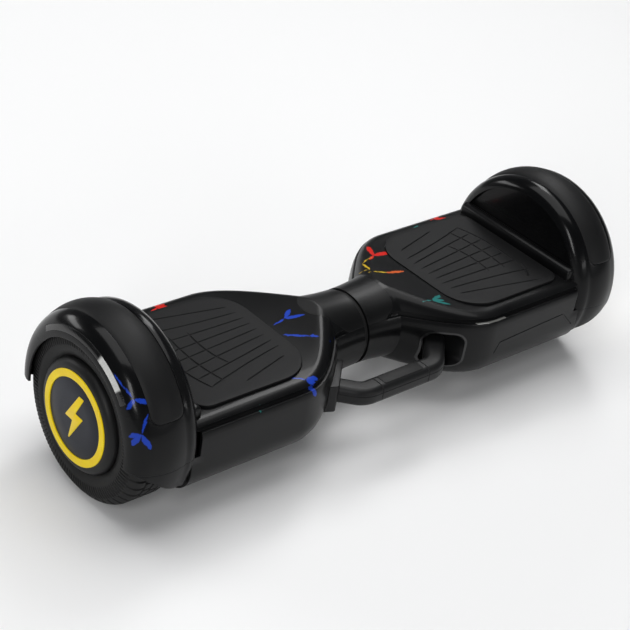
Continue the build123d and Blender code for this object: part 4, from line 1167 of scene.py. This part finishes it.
# CAD nodes that stay, with their finishes.
kept = {
    # the wheel lamp lens gets a painted reflection: pale from 18 to 41 degrees round the axle, dark
    # elsewhere
    "wheel_lamp_lens": lamp_lens("wheel_lamp_lens", (0.62, 0.62, 0.60), (0.006, 0.006, 0.006), 18.0, 41.0),
    "deck_lamp_lens": plain_moulding("deck_lamp_lens", (0.16, 0.16, 0.15), 0.3, 1.0),
    "frame": metal("cast_frame", (0.50, 0.51, 0.53), 0.42),
    "axle_clamp": metal("clamp_cast", (0.50, 0.51, 0.53), 0.42),
    "frame_screws": metal("steel_screws", (0.42, 0.42, 0.43), 0.3),
    "sensor_board": circuit_board(),
    "motor_rim": metal("wheel_rim", (0.09, 0.09, 0.095), 0.45),
    "wheel_bearings": metal("bearing_steel", (0.55, 0.56, 0.58), 0.22, 0.1),
    "axle": metal("axle_steel", (0.5, 0.51, 0.53), 0.25, 0.1),
    "stator": metal("stator_copper", (0.50, 0.22, 0.09), 0.38),
    "motor_leads": plain_moulding("cable_sheath", (0.01, 0.01, 0.01), 0.45),
    "bracket_screws": metal("bracket_steel", (0.42, 0.42, 0.43), 0.3),
    "pivot_tube": metal("pivot_steel", (0.5, 0.51, 0.53), 0.25, 0.1),
    "pivot_bushes": plain_moulding("bush_acetal", (0.62, 0.6, 0.54), 0.35),
    "circlip": metal("clip_steel", (0.12, 0.12, 0.13), 0.35),
    "pivot_pins": metal("pin_steel", (0.5, 0.51, 0.53), 0.25),
    "neck_seal": plain_moulding("seal_rubber", (0.006, 0.006, 0.006), 0.6),
    "battery_pack": plain_moulding("battery_wrap", (0.02, 0.09, 0.3), 0.3, 0.4),
    "main_board": circuit_board(),
    "link_cable": plain_moulding("link_sheath", (0.01, 0.01, 0.01), 0.45),
    "handle_core": metal("core_steel", (0.5, 0.51, 0.53), 0.3),
    "button_housing": matte_trim("button_trim", 0.012, 0.4),
    "power_button": metal("button_silver", (0.55, 0.56, 0.58), 0.3, 0.1),
    "charge_port": matte_trim("port_trim", 0.012, 0.4),
    "charge_cap": plain_moulding("cap_rubber", (0.012, 0.012, 0.013), 0.55),
}
for name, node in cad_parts.items():
    base = name.removesuffix("_left").removesuffix("_right")
    material = kept.get(name) or kept.get(base)
    if material is not None:
        node.data.materials.clear()
        node.data.materials.append(material)
        smooth(node, 30)


# ------------------------------------------------------------------ studio
def make_floor():
    """A broad pale sheet that rises behind the board in one soft curve."""
    wide, near, far, bend, high = 12000.0, -6000.0, 5200.0, 1600.0, 5200.0
    line = [(near + (far - near) * i / 8, 0.0) for i in range(9)]
    line += [(far + bend * sin(pi / 2 * i / 16), bend - bend * cos(pi / 2 * i / 16)) for i in range(1, 17)]
    line += [(far + bend, bend + (high - bend) * i / 3) for i in range(1, 4)]
    points = [(x, y, z) for y, z in line for x in (-wide, wide)]
    faces = [(2 * i, 2 * i + 1, 2 * i + 3, 2 * i + 2) for i in range(len(line) - 1)]
    floor = smooth(new_piece("floor", points, faces), 60)
    paint = Finish("floor_paint", specular_ior_level=0.2)
    cloud = paint.noise(0.6, 2.0, 0.5)
    paint.set("Base Color", paint.mix(cloud, rgb(0.86, 0.86, 0.86), rgb(0.89, 0.89, 0.89)))
    paint.set("Roughness", 0.75 + cloud * 0.1)
    floor.data.materials.append(paint.material)
    floor.rotation_euler = (0, 0, radians(-45))


def softbox(name, place, target, width, height, power):
    light = bpy.data.lights.new(name, "AREA")
    light.shape = "RECTANGLE"
    light.size, light.size_y = width, height
    light.energy = power
    lamp = bpy.data.objects.new(name, light)
    lamp.location = place
    lamp.rotation_mode = "QUATERNION"
    lamp.rotation_quaternion = (Vector(place) - Vector(target)).to_track_quat("Z", "Y")
    bpy.context.scene.collection.objects.link(lamp)
    return lamp


def make_camera():
    azimuth, elevation, roll = radians(-45.87), radians(32.22), radians(9.84)
    distance = 1598.4 * MM
    target = Vector((-17.9, 18.9, 85.5)) * MM
    back = Vector((sin(azimuth) * cos(elevation), -cos(azimuth) * cos(elevation), sin(elevation)))
    level = Vector((cos(azimuth), sin(azimuth), 0.0))
    upright = back.cross(level)
    right = level * cos(roll) + upright * sin(roll)
    up = back.cross(right)
    lens = bpy.data.cameras.new("camera")
    lens.lens = 97.66
    lens.sensor_width = 36.0
    lens.clip_end = 60.0
    camera = bpy.data.objects.new("camera", lens)
    camera.rotation_mode = "QUATERNION"
    camera.location = target + back * distance
    camera.rotation_quaternion = Matrix((right, up, back)).transposed().to_quaternion()
    bpy.context.scene.collection.objects.link(camera)
    bpy.context.scene.camera = camera


def make_studio():
    make_floor()
    world = bpy.data.worlds.new("studio")
    world.use_nodes = True
    sky = world.node_tree.nodes["Background"]
    sky.inputs["Color"].default_value = rgb(0.9, 0.94, 1.0)
    sky.inputs["Strength"].default_value = 0.08
    bpy.context.scene.world = world
    middle = (0.0, 0.0, 0.08)
    softbox("overhead", (0.1, 0.3, 2.8), middle, 3.2, 2.6, 66)
    softbox("front_left", (-2.3, -1.5, 1.7), middle, 0.5, 1.6, 30)
    softbox("back_left", (-1.2, 2.6, 1.0), middle, 1.6, 0.5, 16)
    softbox("back_right", (1.5, 1.2, 2.2), middle, 0.7, 1.2, 20)
    softbox("front_low", (0.6, -2.6, 0.8), middle, 1.6, 0.3, 9)
    bpy.context.scene.view_settings.view_transform = "Standard"
    bpy.context.scene.view_settings.look = "None"


make_camera()
make_studio()
